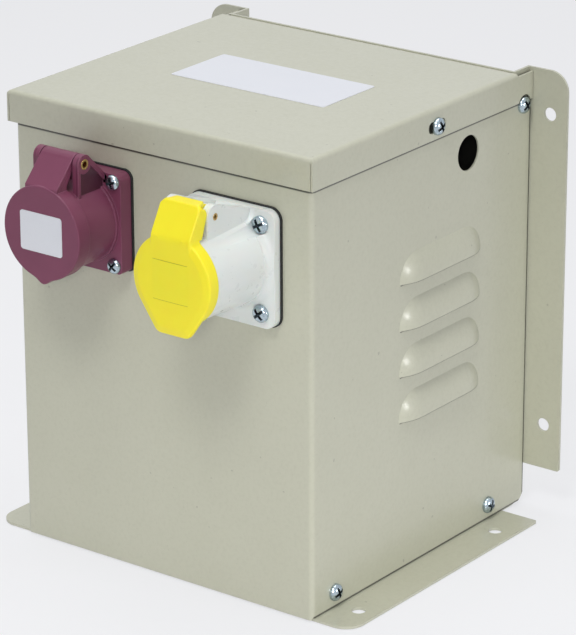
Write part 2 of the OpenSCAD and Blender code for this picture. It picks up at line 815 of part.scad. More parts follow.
module outlet_24v_housing() {
    color("#6f4350") at_outlet_24v() difference() {
        outlet_body(flange_24v_w, flange_24v_h, corner_24v_r, corner_24v_low_r, flange_24v_t, rear_24v_r, 0,
            bore_24v_r, barrel_24v_reach + collar_24v_l) {
            translate([0, 0, gasket_t]) cylinder(h = barrel_24v_reach - gasket_t, r = barrel_24v_r);
            translate([0, 0, gasket_t])
                cylinder(h = flange_24v_t + ring_24v_l, r = min(ring_24v_r, flange_24v_w / 2 - seat_gap));
            translate([0, 0, gasket_t])
                cylinder(h = barrel_24v_reach + collar_24v_l - gasket_t, r = collar_24v_r);
            for (s = [-1, 1]) translate([s * (ear_24v_gap + ear_24v_t) / 2, 0, 0]) difference() {
                across(ear_24v_t) outlet_24v_ear_plan();
                translate([s * ear_24v_t / 2, 0, 0]) across(2 * ear_24v_hollow) outlet_24v_ear_hollow();
            }
            across(ear_24v_gap + ear_24v_t) outlet_24v_web_plan();
        }
        screw_places(screw_x_24v, screw_y_24v) {
            translate([0, 0, -overrun])
                cylinder(h = flange_24v_front + 2 * overrun, d = screw_24v_d + 2 * screw_gap);
            translate([0, 0, flange_24v_front])
                cylinder(h = head_24v_h + overrun, d = head_24v_d + 2 * seat_gap);
        }
        translate([0, hinge_24v_up, hinge_24v_out]) rotate([0, 90, 0])
            cylinder(h = pin_24v_l + 2 * overrun, r = pin_24v_r + press_gap, center = true);
    }
}

module outlet_24v_insert() {
    color("#5d3f49") at_outlet_24v() outlet_insert(bore_24v_r, core_24v_r, 0,
        barrel_24v_reach - contact_back_l, angles_24v, 270);
}

module outlet_24v_contacts() {
    color("#c9a45c") at_outlet_24v() outlet_contacts(0, barrel_24v_reach - contact_back_l, angles_24v);
}

module outlet_24v_terminal_screws() {
    color("#c9ced2") at_outlet_24v() outlet_terminal_screws(0, angles_24v);
}

module outlet_24v_flange_screws() {
    color("#d0d4d6") at_outlet_24v() outlet_flange_screws(screw_x_24v, screw_y_24v, screw_24v_d,
        head_24v_d, head_24v_h, flange_24v_front, flange_24v_front + cover_t + screw_24v_d);
}

module outlet_24v_flange_nuts() {
    color("#9aa0a4") at_outlet_24v() outlet_nuts(screw_x_24v, screw_y_24v, screw_24v_d);
}

module outlet_24v_hinge_pin() {
    color("#b9a36a") at_outlet_24v()
        hinge_pin(hinge_24v_up, hinge_24v_out, pin_24v_r, pin_24v_hollow_r, pin_24v_l);
}

module outlet_24v_spring() {
    color("#8f9498") at_outlet_24v() closing_spring(hinge_24v_up, hinge_24v_out, coil_24v_r, wire_24v_r);
}

module outlet_24v_neck_plan() {
    // Drawn with x out from the cover and y up
    d = [lid_24v_reach - hinge_24v_out, neck_24v_foot - hinge_24v_up];
    a = atan2(d[1], d[0]) + acos(ear_24v_r / norm(d));
    translate([hinge_24v_out, hinge_24v_up]) circle(ear_24v_r);
    polygon([
        [hinge_24v_out, hinge_24v_up] + ear_24v_r * [cos(a), sin(a)],
        [lid_24v_reach, neck_24v_foot],
        [lid_24v_reach - lid_24v_face_t / 2, lid_24v_r - 2 * neck_24v_t],
        [lid_24v_back, lid_24v_r - 2 * neck_24v_t],
        [lid_24v_back, lid_24v_r],
        [hinge_24v_out, hinge_24v_up] + ear_24v_r * [cos(a - neck_24v_span), sin(a - neck_24v_span)]]);
}

neck_24v_foot = lid_24v_r - seat_gap;
neck_24v_span_share = 5 / 24;
neck_24v_span = 360 * neck_24v_span_share;
neck_24v_side = 1.6;

module outlet_24v_lid() {
    color("#75415a") at_outlet_24v() difference() {
        union() {
            translate([0, 0, lid_24v_back]) linear_extrude(lid_24v_reach - lid_24v_back)
                lid_24v_outline(lid_24v_r);
            across(neck_24v_w) outlet_24v_neck_plan();
        }
        difference() {
            across(neck_24v_w - 2 * neck_24v_side) difference() {
                translate([-neck_24v_t, 0]) outlet_24v_neck_plan();
                translate([hinge_24v_out, hinge_24v_up]) circle(ear_24v_r);
            }
            cylinder(h = lid_24v_reach + overrun, r = lid_24v_r);
        }
        translate([0, 0, lid_24v_back - overrun])
            cylinder(h = lid_24v_reach - lid_24v_face_t - lid_24v_back + overrun,
                r = lid_24v_r - skirt_24v_wall);
        translate([0, hinge_24v_up, hinge_24v_out]) rotate([0, 90, 0]) {
            cylinder(h = neck_24v_w + 2 * overrun, r = pin_24v_r + pin_gap, center = true);
            cylinder(h = neck_24v_w - 2 * lug_24v_w, r = ear_24v_r - knuckle_24v_wall, center = true);
        }
    }
}

tip_24v_drop = 29.6;
tip_24v_r = 4.4;

// Disc with a rounded point at the foot
module lid_24v_outline(r) {
    circle(r);
    a = acos((r - tip_24v_r) / (tip_24v_drop - tip_24v_r));
    translate([0, tip_24v_r - tip_24v_drop]) circle(tip_24v_r);
    polygon([
        [r * sin(a), -r * cos(a)],
        [tip_24v_r * sin(a), tip_24v_r - tip_24v_drop - tip_24v_r * cos(a)],
        [-tip_24v_r * sin(a), tip_24v_r - tip_24v_drop - tip_24v_r * cos(a)],
        [-r * sin(a), -r * cos(a)]]);
}

module outlet_24v_lid_seal() {
    color("#2b2c2e") at_outlet_24v() lid_seal(0, lid_24v_reach - lid_24v_face_t,
        barrel_24v_reach + collar_24v_l, lid_24v_r - skirt_24v_wall, bore_24v_r);
}

// Rubber ring on the inside of a lid, which meets the front edge of the collar
module lid_seal(up, inner_face, collar_front, outer_r, inner_r) {
    translate([0, up, collar_front + seat_gap]) difference() {
        cylinder(h = inner_face - collar_front - seat_gap, r = outer_r - press_gap);
        translate([0, 0, -overrun]) cylinder(h = inner_face, r = inner_r);
    }
}

lid_plate_w = 29.5;
lid_plate_h = 22.6;
lid_plate_r = 1.8;

module outlet_24v_lid_plate() {
    color("#dfe2ea") at_outlet_24v() translate([0, 0, lid_24v_reach]) linear_extrude(plate_t)
        rounded_rect(lid_plate_w, lid_plate_h, lid_plate_r);
}

// 110 V outlet
ear_110v_r = 6.6;
ear_110v_t = 4.6;
ear_110v_gap = 18.1;
pin_110v_r = 2;
pin_110v_hollow_r = 1;
pin_110v_l = ear_110v_gap + 2 * ear_110v_t;
pin_110v_up = axis_110v_up + hinge_110v_up;
coil_110v_r = 3;
wire_110v_r = 0.4;
collar_110v_r = 22.9;
collar_110v_l = 3.2;
base_110v_r = 27.5;
fillet_110v_r = 5;
skirt_110v_wall = 1.6;
lid_110v_face_t = 2.6;
lid_110v_bevel_h = 1.3;
lid_110v_bevel_w = 4;
lid_110v_flat_half = lid_110v_r - lid_110v_bevel_w;
tab_110v_drop = 30.5;
tab_110v_half = 10.6;
tab_110v_t = 4.4;
knuckle_110v_w = ear_110v_gap - 2 * side_play;
knuckle_110v_r = 5.4;
lug_110v_w = 3.6;
neck_110v_w = 26.4;
neck_110v_t = 2.4;
neck_110v_side = 1.3;
neck_110v_foot = 24.6;
neck_110v_fillet_r = 4;
neck_110v_chamfer = 3;
sweep_gap = 0.5;
flange_110v_front = gasket_t + flange_110v_t;
lid_110v_back = barrel_110v_reach + seat_gap;

// Corners of the lid's neck, as out and up
neck_hook_share = [0.96, 0.62];
neck_heel_out_share = 1.6;
neck_slope_share = 1.2;
neck_top_past_ear = [5.1, 2.1];
top_lap = 8.1;
neck_foot = [lid_110v_reach, axis_110v_up + neck_110v_foot];
neck_top = [hinge_110v_out, pin_110v_up] + [ear_110v_r, ear_110v_r] + neck_top_past_ear;
neck_lap = neck_top - [neck_110v_t, 0];
neck_hook = [hinge_110v_out, pin_110v_up] + ear_110v_r * neck_hook_share;
neck_heel_out = hinge_110v_out + ear_110v_r * neck_heel_out_share;
neck_heel_up = axis_110v_up + seat_gap
    + sqrt(pow(barrel_110v_r + 2 * seat_gap, 2) - pow(neck_110v_w / 2 - neck_110v_side, 2));
neck_root_up = neck_foot[1] - 3 * neck_110v_t;

module outlet_110v_ear_plan() {
    // Drawn with x out from the cover and y up
    translate([hinge_110v_out, pin_110v_up]) circle(ear_110v_r);
    polygon([
        [flange_110v_front - ear_110v_t / 2, flange_110v_h / 2 - ear_110v_t / 4],
        [hinge_110v_out - ear_110v_r * ear_back_share, pin_110v_up + ear_110v_r * ear_top_share],
        [hinge_110v_out + ear_110v_r, pin_110v_up],
        [hinge_110v_out + ear_110v_r, axis_110v_up + bore_110v_r - ear_110v_t],
        [flange_110v_front - ear_110v_t / 2, axis_110v_up + bore_110v_r - ear_110v_t]]);
}

// Barrel that widens towards the flange and runs into it in a hollow curve
module outlet_110v_barrel() {
    intersection() {
        translate([0, 0, gasket_t]) linear_extrude(barrel_110v_reach)
            rounded_rect(flange_110v_w, flange_110v_h, corner_110v_r);
        translate([0, axis_110v_up, 0]) {
            translate([0, 0, gasket_t])
                cylinder(h = barrel_110v_reach - gasket_t, r1 = base_110v_r, r2 = barrel_110v_r);
            rotate_extrude() translate([0, flange_110v_front]) difference() {
                square([base_110v_r + fillet_110v_r, fillet_110v_r]);
                translate([base_110v_r + fillet_110v_r, fillet_110v_r]) circle(fillet_110v_r);
            }
        }
    }
    translate([0, axis_110v_up, gasket_t])
        cylinder(h = barrel_110v_reach + collar_110v_l - gasket_t, r = collar_110v_r);
}

module outlet_110v_gasket() {
    color("#1c1d1f") at_outlet_110v() outlet_gasket(flange_110v_w, flange_110v_h, corner_110v_r,
        corner_110v_r, panel_hole_110v_r, axis_110v_up, screw_x_110v, screw_y_110v, screw_110v_d);
}

module outlet_110v_housing() {
    color("#dfe1de") at_outlet_110v() difference() {
        outlet_body(flange_110v_w, flange_110v_h, corner_110v_r, corner_110v_r, flange_110v_t, rear_110v_r,
            axis_110v_up, bore_110v_r, barrel_110v_reach + collar_110v_l) {
            outlet_110v_barrel();
            for (s = [-1, 1]) translate([s * (ear_110v_gap + ear_110v_t) / 2, 0, 0])
                across(ear_110v_t) outlet_110v_ear_plan();
            difference() {
                translate([0, -ear_110v_t / 2, 0]) intersection() {
                    across(ear_110v_gap + ear_110v_t) outlet_110v_ear_plan();
                    translate([-ear_110v_gap, 0, 0])
                        cube([2 * ear_110v_gap, flange_110v_h, hinge_110v_out - ear_110v_r]);
                }
                translate([0, pin_110v_up, hinge_110v_out]) rotate([0, 90, 0])
                    cylinder(h = ear_110v_gap, r = lid_sweep_110v_r, center = true);
            }
        }
        screw_places(screw_x_110v, screw_y_110v) {
            translate([0, 0, -overrun])
                cylinder(h = flange_110v_front + 2 * overrun, d = screw_110v_d + 2 * screw_gap);
            translate([0, 0, flange_110v_front])
                cylinder(h = barrel_110v_reach, d = head_110v_d + 2 * seat_gap);
        }
        translate([0, pin_110v_up, hinge_110v_out]) rotate([0, 90, 0])
            cylinder(h = pin_110v_l + 2 * overrun, r = pin_110v_r + press_gap, center = true);
    }
}

// Radius that the rear edge of the lid's top sweeps about the pin
lid_sweep_110v_r = norm([neck_top[0] - top_lap - hinge_110v_out, neck_top[1] - pin_110v_up]) + sweep_gap;

module outlet_110v_insert() {
    color("#c9ccc9") at_outlet_110v() outlet_insert(bore_110v_r, core_110v_r, axis_110v_up,
        barrel_110v_reach - contact_back_l, angles_110v, 270);
}

module outlet_110v_contacts() {
    color("#c9a45c") at_outlet_110v()
        outlet_contacts(axis_110v_up, barrel_110v_reach - contact_back_l, angles_110v);
}

module outlet_110v_terminal_screws() {
    color("#c9ced2") at_outlet_110v() outlet_terminal_screws(axis_110v_up, angles_110v);
}

module outlet_110v_flange_screws() {
    color("#d0d4d6") at_outlet_110v() outlet_flange_screws(screw_x_110v, screw_y_110v, screw_110v_d,
        head_110v_d, head_110v_h, flange_110v_front, flange_110v_front + cover_t + screw_110v_d);
}

module outlet_110v_flange_nuts() {
    color("#9aa0a4") at_outlet_110v() outlet_nuts(screw_x_110v, screw_y_110v, screw_110v_d);
}

module outlet_110v_hinge_pin() {
    color("#b9a36a") at_outlet_110v()
        hinge_pin(pin_110v_up, hinge_110v_out, pin_110v_r, pin_110v_hollow_r, pin_110v_l);
}

module outlet_110v_spring() {
    color("#8f9498") at_outlet_110v() closing_spring(pin_110v_up, hinge_110v_out, coil_110v_r, wire_110v_r);
}

// Disc whose sides run straight down to a blunt tab
module lid_110v_outline(r) {
    d = norm([tab_110v_half, tab_110v_drop]);
    a = atan2(-tab_110v_drop, tab_110v_half) + acos(min(1, r / d));
    circle(r);
    polygon([
        [r * cos(a), r * sin(a)],
        [tab_110v_half, -tab_110v_drop],
        [-tab_110v_half, -tab_110v_drop],
        [-r * cos(a), r * sin(a)]]);
}

// Hollow curves that lead from the neck's sides into the lid's round edge
module neck_110v_fillets() {
    x = neck_110v_w / 2 + neck_110v_fillet_r;
    y = sqrt(pow(lid_110v_r + neck_110v_fillet_r, 2) - x * x);
    share = lid_110v_r / (lid_110v_r + neck_110v_fillet_r);
    for (s = [-1, 1]) scale([s, 1]) difference() {
        polygon([[0, 0], [x * share, y * share], [x, y], [x - neck_110v_fillet_r, y], [0, y]]);
        translate([x, y]) circle(neck_110v_fillet_r);
    }
}

module lid_110v_cap() {
    translate([0, axis_110v_up, 0]) {
        translate([0, 0, lid_110v_back])
            cylinder(h = lid_110v_reach - lid_110v_bevel_h - lid_110v_back, r = lid_110v_r);
        translate([0, 0, lid_110v_reach - tab_110v_t]) linear_extrude(tab_110v_t - lid_110v_bevel_h)
            lid_110v_outline(lid_110v_r);
        translate([0, 0, lid_110v_back]) linear_extrude(lid_110v_reach - lid_110v_bevel_h - lid_110v_back)
            neck_110v_fillets();
        translate([0, 0, lid_110v_reach - lid_110v_bevel_h])
            cylinder(h = lid_110v_bevel_h, r1 = lid_110v_r, r2 = lid_110v_r - lid_110v_bevel_w);
        translate([0, 0, lid_110v_reach - tab_110v_t]) linear_extrude(tab_110v_t) polygon([
            [-lid_110v_flat_half, 0],
            [lid_110v_flat_half, 0],
            [tab_110v_half - lid_110v_bevel_w / 2, -tab_110v_drop + lid_110v_bevel_w / 2],
            [-tab_110v_half + lid_110v_bevel_w / 2, -tab_110v_drop + lid_110v_bevel_w / 2]]);
    }
}

// Sloping cuts at the neck's upper corners
module neck_110v_corners() {
    for (s = [-1, 1]) linear_extrude(lid_110v_reach) polygon([
        [s * knuckle_110v_w / 2, neck_top[1]],
        [s * (neck_110v_w / 2 + neck_110v_chamfer), neck_top[1] - 2 * neck_110v_chamfer],
        [s * (neck_110v_w / 2 + neck_110v_chamfer), neck_top[1] + neck_110v_t + overrun],
        [s * knuckle_110v_w / 2, neck_top[1] + neck_110v_t + overrun]]);
}

module lid_110v_neck() {
    difference() {
        across(neck_110v_w) polygon([neck_foot, neck_top, neck_lap, neck_hook,
            [neck_heel_out, neck_heel_up], [lid_110v_back, neck_heel_up],
            [lid_110v_back, neck_root_up], [lid_110v_reach, neck_root_up]]);
        neck_110v_corners();
        difference() {
            across(neck_110v_w - 2 * neck_110v_side) polygon([
                [neck_foot[0] - neck_110v_t * neck_slope_share, neck_foot[1] - neck_110v_t],
                [neck_top[0] - neck_110v_t * neck_slope_share, neck_top[1] - neck_110v_t],
                [hinge_110v_out, neck_top[1] - neck_110v_t],
                [hinge_110v_out, neck_root_up - overrun],
                [lid_110v_reach - lid_110v_face_t - neck_110v_t, neck_root_up - overrun]]);
            translate([0, -neck_110v_t, 0]) neck_110v_corners();
        }
    }
    across(knuckle_110v_w) polygon([
        neck_lap + [overrun, 0],
        [neck_top[0] - top_lap, neck_top[1]],
        [neck_top[0] - top_lap, neck_top[1] - neck_110v_t],
        neck_lap + [overrun, -neck_110v_t]]);
}

module lid_110v_lugs() {
    for (s = [-1, 1]) translate([s * (knuckle_110v_w - lug_110v_w) / 2, 0, 0]) across(lug_110v_w) {
        translate([hinge_110v_out, pin_110v_up]) circle(knuckle_110v_r);
        polygon([
            [neck_top[0] - top_lap, neck_top[1] - neck_110v_t / 2],
            [neck_top[0] - neck_110v_t, neck_top[1] - neck_110v_t / 2],
            [neck_top[0] - neck_110v_t / 2, pin_110v_up],
            [hinge_110v_out, pin_110v_up - knuckle_110v_r],
            [hinge_110v_out - knuckle_110v_r * ear_back_share, pin_110v_up + knuckle_110v_r * ear_top_share]]);
    }
}

module outlet_110v_lid() {
    color("#ebdc48") at_outlet_110v() difference() {
        union() {
            lid_110v_cap();
            lid_110v_neck();
            lid_110v_lugs();
        }
        translate([0, axis_110v_up, lid_110v_back - overrun])
            cylinder(h = lid_110v_reach - lid_110v_face_t - lid_110v_back + overrun,
                r = lid_110v_r - skirt_110v_wall);
        translate([0, pin_110v_up, hinge_110v_out]) rotate([0, 90, 0])
            cylinder(h = neck_110v_w, r = pin_110v_r + pin_gap, center = true);
    }
}

module outlet_110v_lid_seal() {
    color("#2b2c2e") at_outlet_110v() lid_seal(axis_110v_up, lid_110v_reach - lid_110v_face_t,
        barrel_110v_reach + collar_110v_l, lid_110v_r - skirt_110v_wall, bore_110v_r);
}

// Transformer
yoke = core_w / 6;
limb_w = core_w / 3;
window_h = core_w / 2;
core_h = window_h + 2 * yoke;
core_lift = 1;
core_z = deck_z + core_lift;
core_top = core_z + core_h;
bolt_x = (core_w - yoke) / 2;
stack_gap = 0.1;
bobbin_gap = 0.5;
bobbin_wall = 1.5;
bobbin_flange_t = 2;
bobbin_side_gap = 1;
coil_gap = 0.1;
primary_t = 8.2;
secondary_t = 8.2;
insulation_t = 0.8;
coil_corner_r = 1;
foot_x = 55;
foot_y = core_stack / 2 + (clamp_leg + clamp_t) / 2;
foot_places = [for (x = [-foot_x, foot_x], s = [-1, 1]) [x, core_back + s * foot_y]];
core_bolt_places = [for (x = [-bolt_x, bolt_x], z = [core_z + yoke / 2, core_top - yoke / 2]) [x, z]];

module core_bolt_holes() {
    for (p = core_bolt_places) {
        translate([p[0], core_back + core_stack, p[1]]) rotate([90, 0, 0])
            cylinder(h = 2 * core_stack, d = core_bolt_d + 2 * screw_gap);
    }
}

module core_e_stack() {
    color("#5c6066") difference() {
        translate([-core_w / 2, core_back - core_stack / 2, core_z])
            cube([core_w, core_stack, core_h - yoke]);
        for (s = [-1, 1]) translate([s * (limb_w + yoke) / 2 - yoke / 2, core_back - core_stack, core_z + yoke])
            cube([yoke, 2 * core_stack, window_h + overrun]);
        core_bolt_holes();
    }
}

module core_i_stack() {
    color("#5c6066") difference() {
        translate([-core_w / 2, core_back - core_stack / 2, core_top - yoke + stack_gap])
            cube([core_w, core_stack, yoke - stack_gap]);
        core_bolt_holes();
    }
}

// Plan of a layer that goes round the middle limb, from one distance off it to another
module coil_plan(inner, outer) {
    difference() {
        rounded_rect(limb_w + 2 * outer, core_stack + 2 * outer, outer);
        rounded_rect(limb_w + 2 * inner, core_stack + 2 * inner, max(inner, coil_corner_r));
    }
}

coil_z = core_z + yoke + bobbin_gap;
bobbin_h = window_h - 2 * bobbin_gap;
winding_z = coil_z + bobbin_flange_t + coil_gap;
winding_h = bobbin_h - 2 * (bobbin_flange_t + coil_gap);
bobbin_out = bobbin_gap + bobbin_wall;
primary_out = bobbin_out + coil_gap + primary_t;
insulation_out = primary_out + coil_gap + insulation_t;
secondary_out = insulation_out + coil_gap + secondary_t;
wrap_out = secondary_out + coil_gap + insulation_t;
coil_front = core_back - core_stack / 2 - wrap_out;

module coil_layer(inner, outer) {
    translate([0, core_back, winding_z]) linear_extrude(winding_h) coil_plan(inner, outer);
}

module coil_bobbin() {
    color("#2f3133") translate([0, core_back, coil_z]) {
        linear_extrude(bobbin_h) coil_plan(bobbin_gap, bobbin_out);
        for (z = [0, bobbin_h - bobbin_flange_t]) translate([0, 0, z]) linear_extrude(bobbin_flange_t)
            coil_plan(bobbin_gap, yoke - bobbin_side_gap);
    }
}

module primary_winding() {
    color("#a8552f") coil_layer(bobbin_out + coil_gap, primary_out);
}

module winding_insulation() {
    color("#d8cfae") coil_layer(primary_out + coil_gap, insulation_out);
}

module secondary_winding() {
    color("#b4612f") coil_layer(insulation_out + coil_gap, secondary_out);
}

module coil_wrap() {
    color("#d9b84a") coil_layer(secondary_out + coil_gap, wrap_out);
}

// Pair of angles that grip the core in front and behind, upright legs against the core
module clamp_angles(z, leg_z) {
    for (s = [-1, 1]) translate([0, core_back, 0]) mirror([0, s < 0 ? 1 : 0, 0])
        translate([-core_w / 2, core_stack / 2, 0]) {
            translate([0, 0, z]) cube([core_w, clamp_t, clamp_leg]);
            translate([0, 0, leg_z]) cube([core_w, clamp_leg, clamp_t]);
        }
}

module lower_clamp_angles() {
    color("#3a3d41") difference() {
        clamp_angles(deck_z, deck_z);
        core_bolt_holes();
        for (p = foot_places) translate([p[0], p[1], deck_z - overrun])
            cylinder(h = clamp_t + 2 * overrun, d = core_bolt_d + 2 * screw_gap);
    }
}

module upper_clamp_angles() {
    color("#3a3d41") difference() {
        clamp_angles(core_top - clamp_leg, core_top - clamp_t);
        core_bolt_holes();
        for (s = [-1, 1]) translate([s * block_bolt_x, block_y, core_top - clamp_t - overrun])
            cylinder(h = clamp_t + 2 * overrun, d = block_bolt_d + 2 * screw_gap);
    }
}

thread_end_l = 2;
core_bolt_l = core_stack + 2 * clamp_t + core_bolt_d * nut_h_share + thread_end_l;

module core_bolts() {
    color("#c9ced2") for (p = core_bolt_places)
        translate([p[0], core_back - core_stack / 2 - clamp_t, p[1]]) rotate([90, 0, 0])
            hex_screw(core_bolt_d, core_bolt_l);
}

module core_nuts() {
    color("#9aa0a4") for (p = core_bolt_places)
        translate([p[0], core_back + core_stack / 2 + clamp_t, p[1]]) rotate([-90, 0, 0])
            hex_nut(core_bolt_d);
}

module foot_bolts() {
    color("#c9ced2") for (p = foot_places) translate([p[0], p[1], deck_z + clamp_t])
        hex_screw(core_bolt_d, clamp_t + chassis_t + core_bolt_d * nut_h_share + thread_end_l);
}

module foot_nuts() {
    color("#9aa0a4") for (p = foot_places) translate([p[0], p[1], stand_off]) mirror([0, 0, 1])
        hex_nut(core_bolt_d);
}

cutout_w = 22;
cutout_t = 6;
cutout_h = 12;

module thermal_cutout() {
    color("#d9d4c3") translate([-cutout_w / 2, coil_front - coil_gap - cutout_t, coil_z + bobbin_h / 2])
        cube([cutout_w, cutout_t, cutout_h]);
}

// Terminal block on the front upper angle
ways = 7;
way_pitch = 10;
block_end = 8;
block_w = ways * way_pitch + 2 * block_end;
block_d = 17;
block_h = 15;
block_bolt_d = 4;
block_bolt_x = (block_w - block_end) / 2;
block_y = core_back - core_stack / 2 - (clamp_leg + clamp_t) / 2;
way_share = 0.42;
way_z = core_top + block_h * way_share;
clamp_r = 3;
clamp_bore_r = 2.1;
clamp_l = 14;
way_screw_d = 3;

function way_x(i) = (i - (ways - 1) / 2) * way_pitch;

module terminal_block() {
    color("#e4e2d8") difference() {
        translate([-block_w / 2, block_y - block_d / 2, core_top]) cube([block_w, block_d, block_h]);
        for (i = [0:ways - 1]) {
            translate([way_x(i), block_y + block_d, way_z]) rotate([90, 0, 0])
                cylinder(h = 2 * block_d, r = clamp_bore_r);
            translate([way_x(i), block_y + clamp_l / 2, way_z]) rotate([90, 0, 0])
                cylinder(h = clamp_l, r = clamp_r + press_gap);
            for (s = [-1, 1]) translate([way_x(i), block_y + s * clamp_l / 4, way_z])
                cylinder(h = block_h, d = way_screw_d + 2 * thread_gap);
        }
        for (s = [-1, 1]) translate([s * block_bolt_x, block_y, core_top - overrun])
            cylinder(h = block_h + 2 * overrun, d = block_bolt_d + 2 * screw_gap);
    }
}

module terminal_clamps() {
    color("#c9a45c") for (i = [0:ways - 1]) difference() {
        translate([way_x(i), block_y + clamp_l / 2, way_z]) rotate([90, 0, 0])
            cylinder(h = clamp_l, r = clamp_r);
        translate([way_x(i), block_y + block_d, way_z]) rotate([90, 0, 0])
            cylinder(h = 2 * block_d, r = clamp_bore_r);
        for (s = [-1, 1]) translate([way_x(i), block_y + s * clamp_l / 4, way_z])
            cylinder(h = block_h, d = way_screw_d + 2 * thread_gap);
    }
}

module terminal_screws() {
    color("#c9ced2") for (i = [0:ways - 1], s = [-1, 1])
        translate([way_x(i), block_y + s * clamp_l / 4, way_z + lead_r + seat_gap])
            grub_screw(way_screw_d, block_h / 3);
}

module terminal_block_bolts() {
    color("#c9ced2") for (s = [-1, 1]) translate([s * block_bolt_x, block_y, core_top + block_h])
        pan_screw(block_bolt_d, 2 * block_bolt_d, block_bolt_d * pan_h_share, block_h + clamp_t + thread_end_l);
}

// Protective earth point on the base panel
earth_d = 6;
earth_x = 72;
earth_in_l = 22.5;
earth_y = front_y + earth_in_l;
earth_l = 24;

module earth_stud() {
    color("#c9a45c") translate([earth_x, earth_y, stand_off]) mirror([0, 0, 1])
        hex_screw(earth_d, earth_l);
}

module earth_nuts() {
    color("#b08f4e") for (z = [0, earth_d * nut_h_share + lug_t])
        translate([earth_x, earth_y, deck_z + z]) hex_nut(earth_d);
}

lug_t = 1.2;
lug_gap = 0.1;

// Insulated lead: straight runs between points, with round bends
module lead(points, r = lead_r) {
    for (i = [0:len(points) - 2]) let (d = points[i + 1] - points[i]) {
        translate(points[i]) rotate([0, acos(d[2] / norm(d)), atan2(d[1], d[0])])
            cylinder(h = norm(d), r = r, $fn = 24);
        if (i > 0) translate(points[i]) sphere(r * bend_share, $fn = 24);
    }
}

bend_share = 1.06;
lead_bend_l = 5;
lead_in_l = 6;
lead_up_share = 0.8;
lead_front_y = block_y - block_d / 2 - 2 * lead_bend_l;
lead_step_l = 4;
lead_rise_y = block_y + block_d / 2 + 2 * lead_bend_l;
tail_y = front_y - insert_rear + contact_tail_l;
winding_ways = [0:ways - 2];
way_110v_first = 3;

module winding_leads() {
    color("#b23a2e") for (i = winding_ways) lead([
        [way_x(i), coil_front - lug_gap, coil_z + bobbin_h * lead_up_share],
        [way_x(i), lead_front_y, coil_z + bobbin_h * lead_up_share],
        [way_x(i), lead_front_y, way_z],
        [way_x(i), block_y - block_d / 2 + lead_in_l, way_z]]);
}

// Place of one contact's tail, from the outlet's place and the contact's angle
function tail_at(x, z, a) = [x + contact_ring_r * cos(a), tail_y, z + contact_ring_r * sin(a)];

// Lead from the rear of a terminal way, up behind the block and forward to a contact's tail. A tail that lies
// lower than the block's top is reached over the block
module outlet_lead(i, tail, step) {
    y = lead_rise_y + step * lead_step_l;
    over_z = core_top + block_h + 2 * lead_bend_l;
    z = max(tail[2], over_z);
    lead(concat(
        [[way_x(i), block_y + block_d / 2 - lead_in_l, way_z], [way_x(i), y, way_z], [tail[0], y, z]],
        z > tail[2] ? [[tail[0], lead_front_y, z], [tail[0], lead_front_y, tail[2]]] : [],
        [tail - [0, lead_in_l, 0]]));
}

module outlet_24v_leads() {
    color("#6a3b8f") for (k = [0, 1])
        outlet_lead(k, tail_at(outlet_24v_in - side_x, outlet_24v_z, angles_24v[1 - k]), k);
}

module outlet_110v_leads() {
    color("#3b3b3f") for (k = [1, 2])
        outlet_lead(k + way_110v_first,
            tail_at(side_x - outlet_110v_in, outlet_110v_z + axis_110v_up, angles_110v[k]), k + 1);
}

module earth_leads() {
    tail = tail_at(side_x - outlet_110v_in, outlet_110v_z + axis_110v_up, angles_110v[0]);
    lug_z = deck_z + earth_d * nut_h_share + lug_gap;
    rise_y = earth_y + earth_d * 2 + lead_bend_l;
    color("#5f9e3a") {
        difference() {
            union() {
                translate([earth_x, earth_y, lug_z]) cylinder(h = lug_t - 2 * lug_gap, r = earth_d);
                translate([earth_x - lead_r, earth_y, lug_z])
                    cube([2 * lead_r, rise_y - earth_y, lug_t - 2 * lug_gap]);
            }
            translate([earth_x, earth_y, lug_z - overrun])
                cylinder(h = lug_t + 2 * overrun, r = earth_d / 2 + lug_gap);
        }
        lead([
            [earth_x, rise_y, lug_z],
            [earth_x, rise_y, tail[2]],
            [tail[0], rise_y, tail[2]],
            tail - [0, lead_in_l, 0]]);
    }
}

chassis();
cover();
top_lid();
rating_plate();
cover_screws();
cover_weld_nuts();
lid_screws();
lid_weld_nuts();
outlet_24v_gasket();
outlet_24v_housing();
outlet_24v_insert();
outlet_24v_contacts();
outlet_24v_terminal_screws();
outlet_24v_flange_screws();
outlet_24v_flange_nuts();
outlet_24v_hinge_pin();
outlet_24v_spring();
outlet_24v_lid();
outlet_24v_lid_seal();
outlet_24v_lid_plate();
outlet_110v_gasket();
outlet_110v_housing();
outlet_110v_insert();
outlet_110v_contacts();
outlet_110v_terminal_screws();
outlet_110v_flange_screws();
outlet_110v_flange_nuts();
outlet_110v_hinge_pin();
outlet_110v_spring();
outlet_110v_lid();
outlet_110v_lid_seal();
core_e_stack();
core_i_stack();
coil_bobbin();
secondary_winding();
winding_insulation();
primary_winding();
coil_wrap();
lower_clamp_angles();
upper_clamp_angles();
core_bolts();
core_nuts();
foot_bolts();
foot_nuts();
thermal_cutout();
terminal_block();
terminal_clamps();
terminal_screws();
terminal_block_bolts();
earth_stud();
earth_nuts();
winding_leads();
outlet_24v_leads();
outlet_110v_leads();
earth_leads();
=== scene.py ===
import json
import math
import bmesh
import bpy
from mathutils import Matrix, Vector


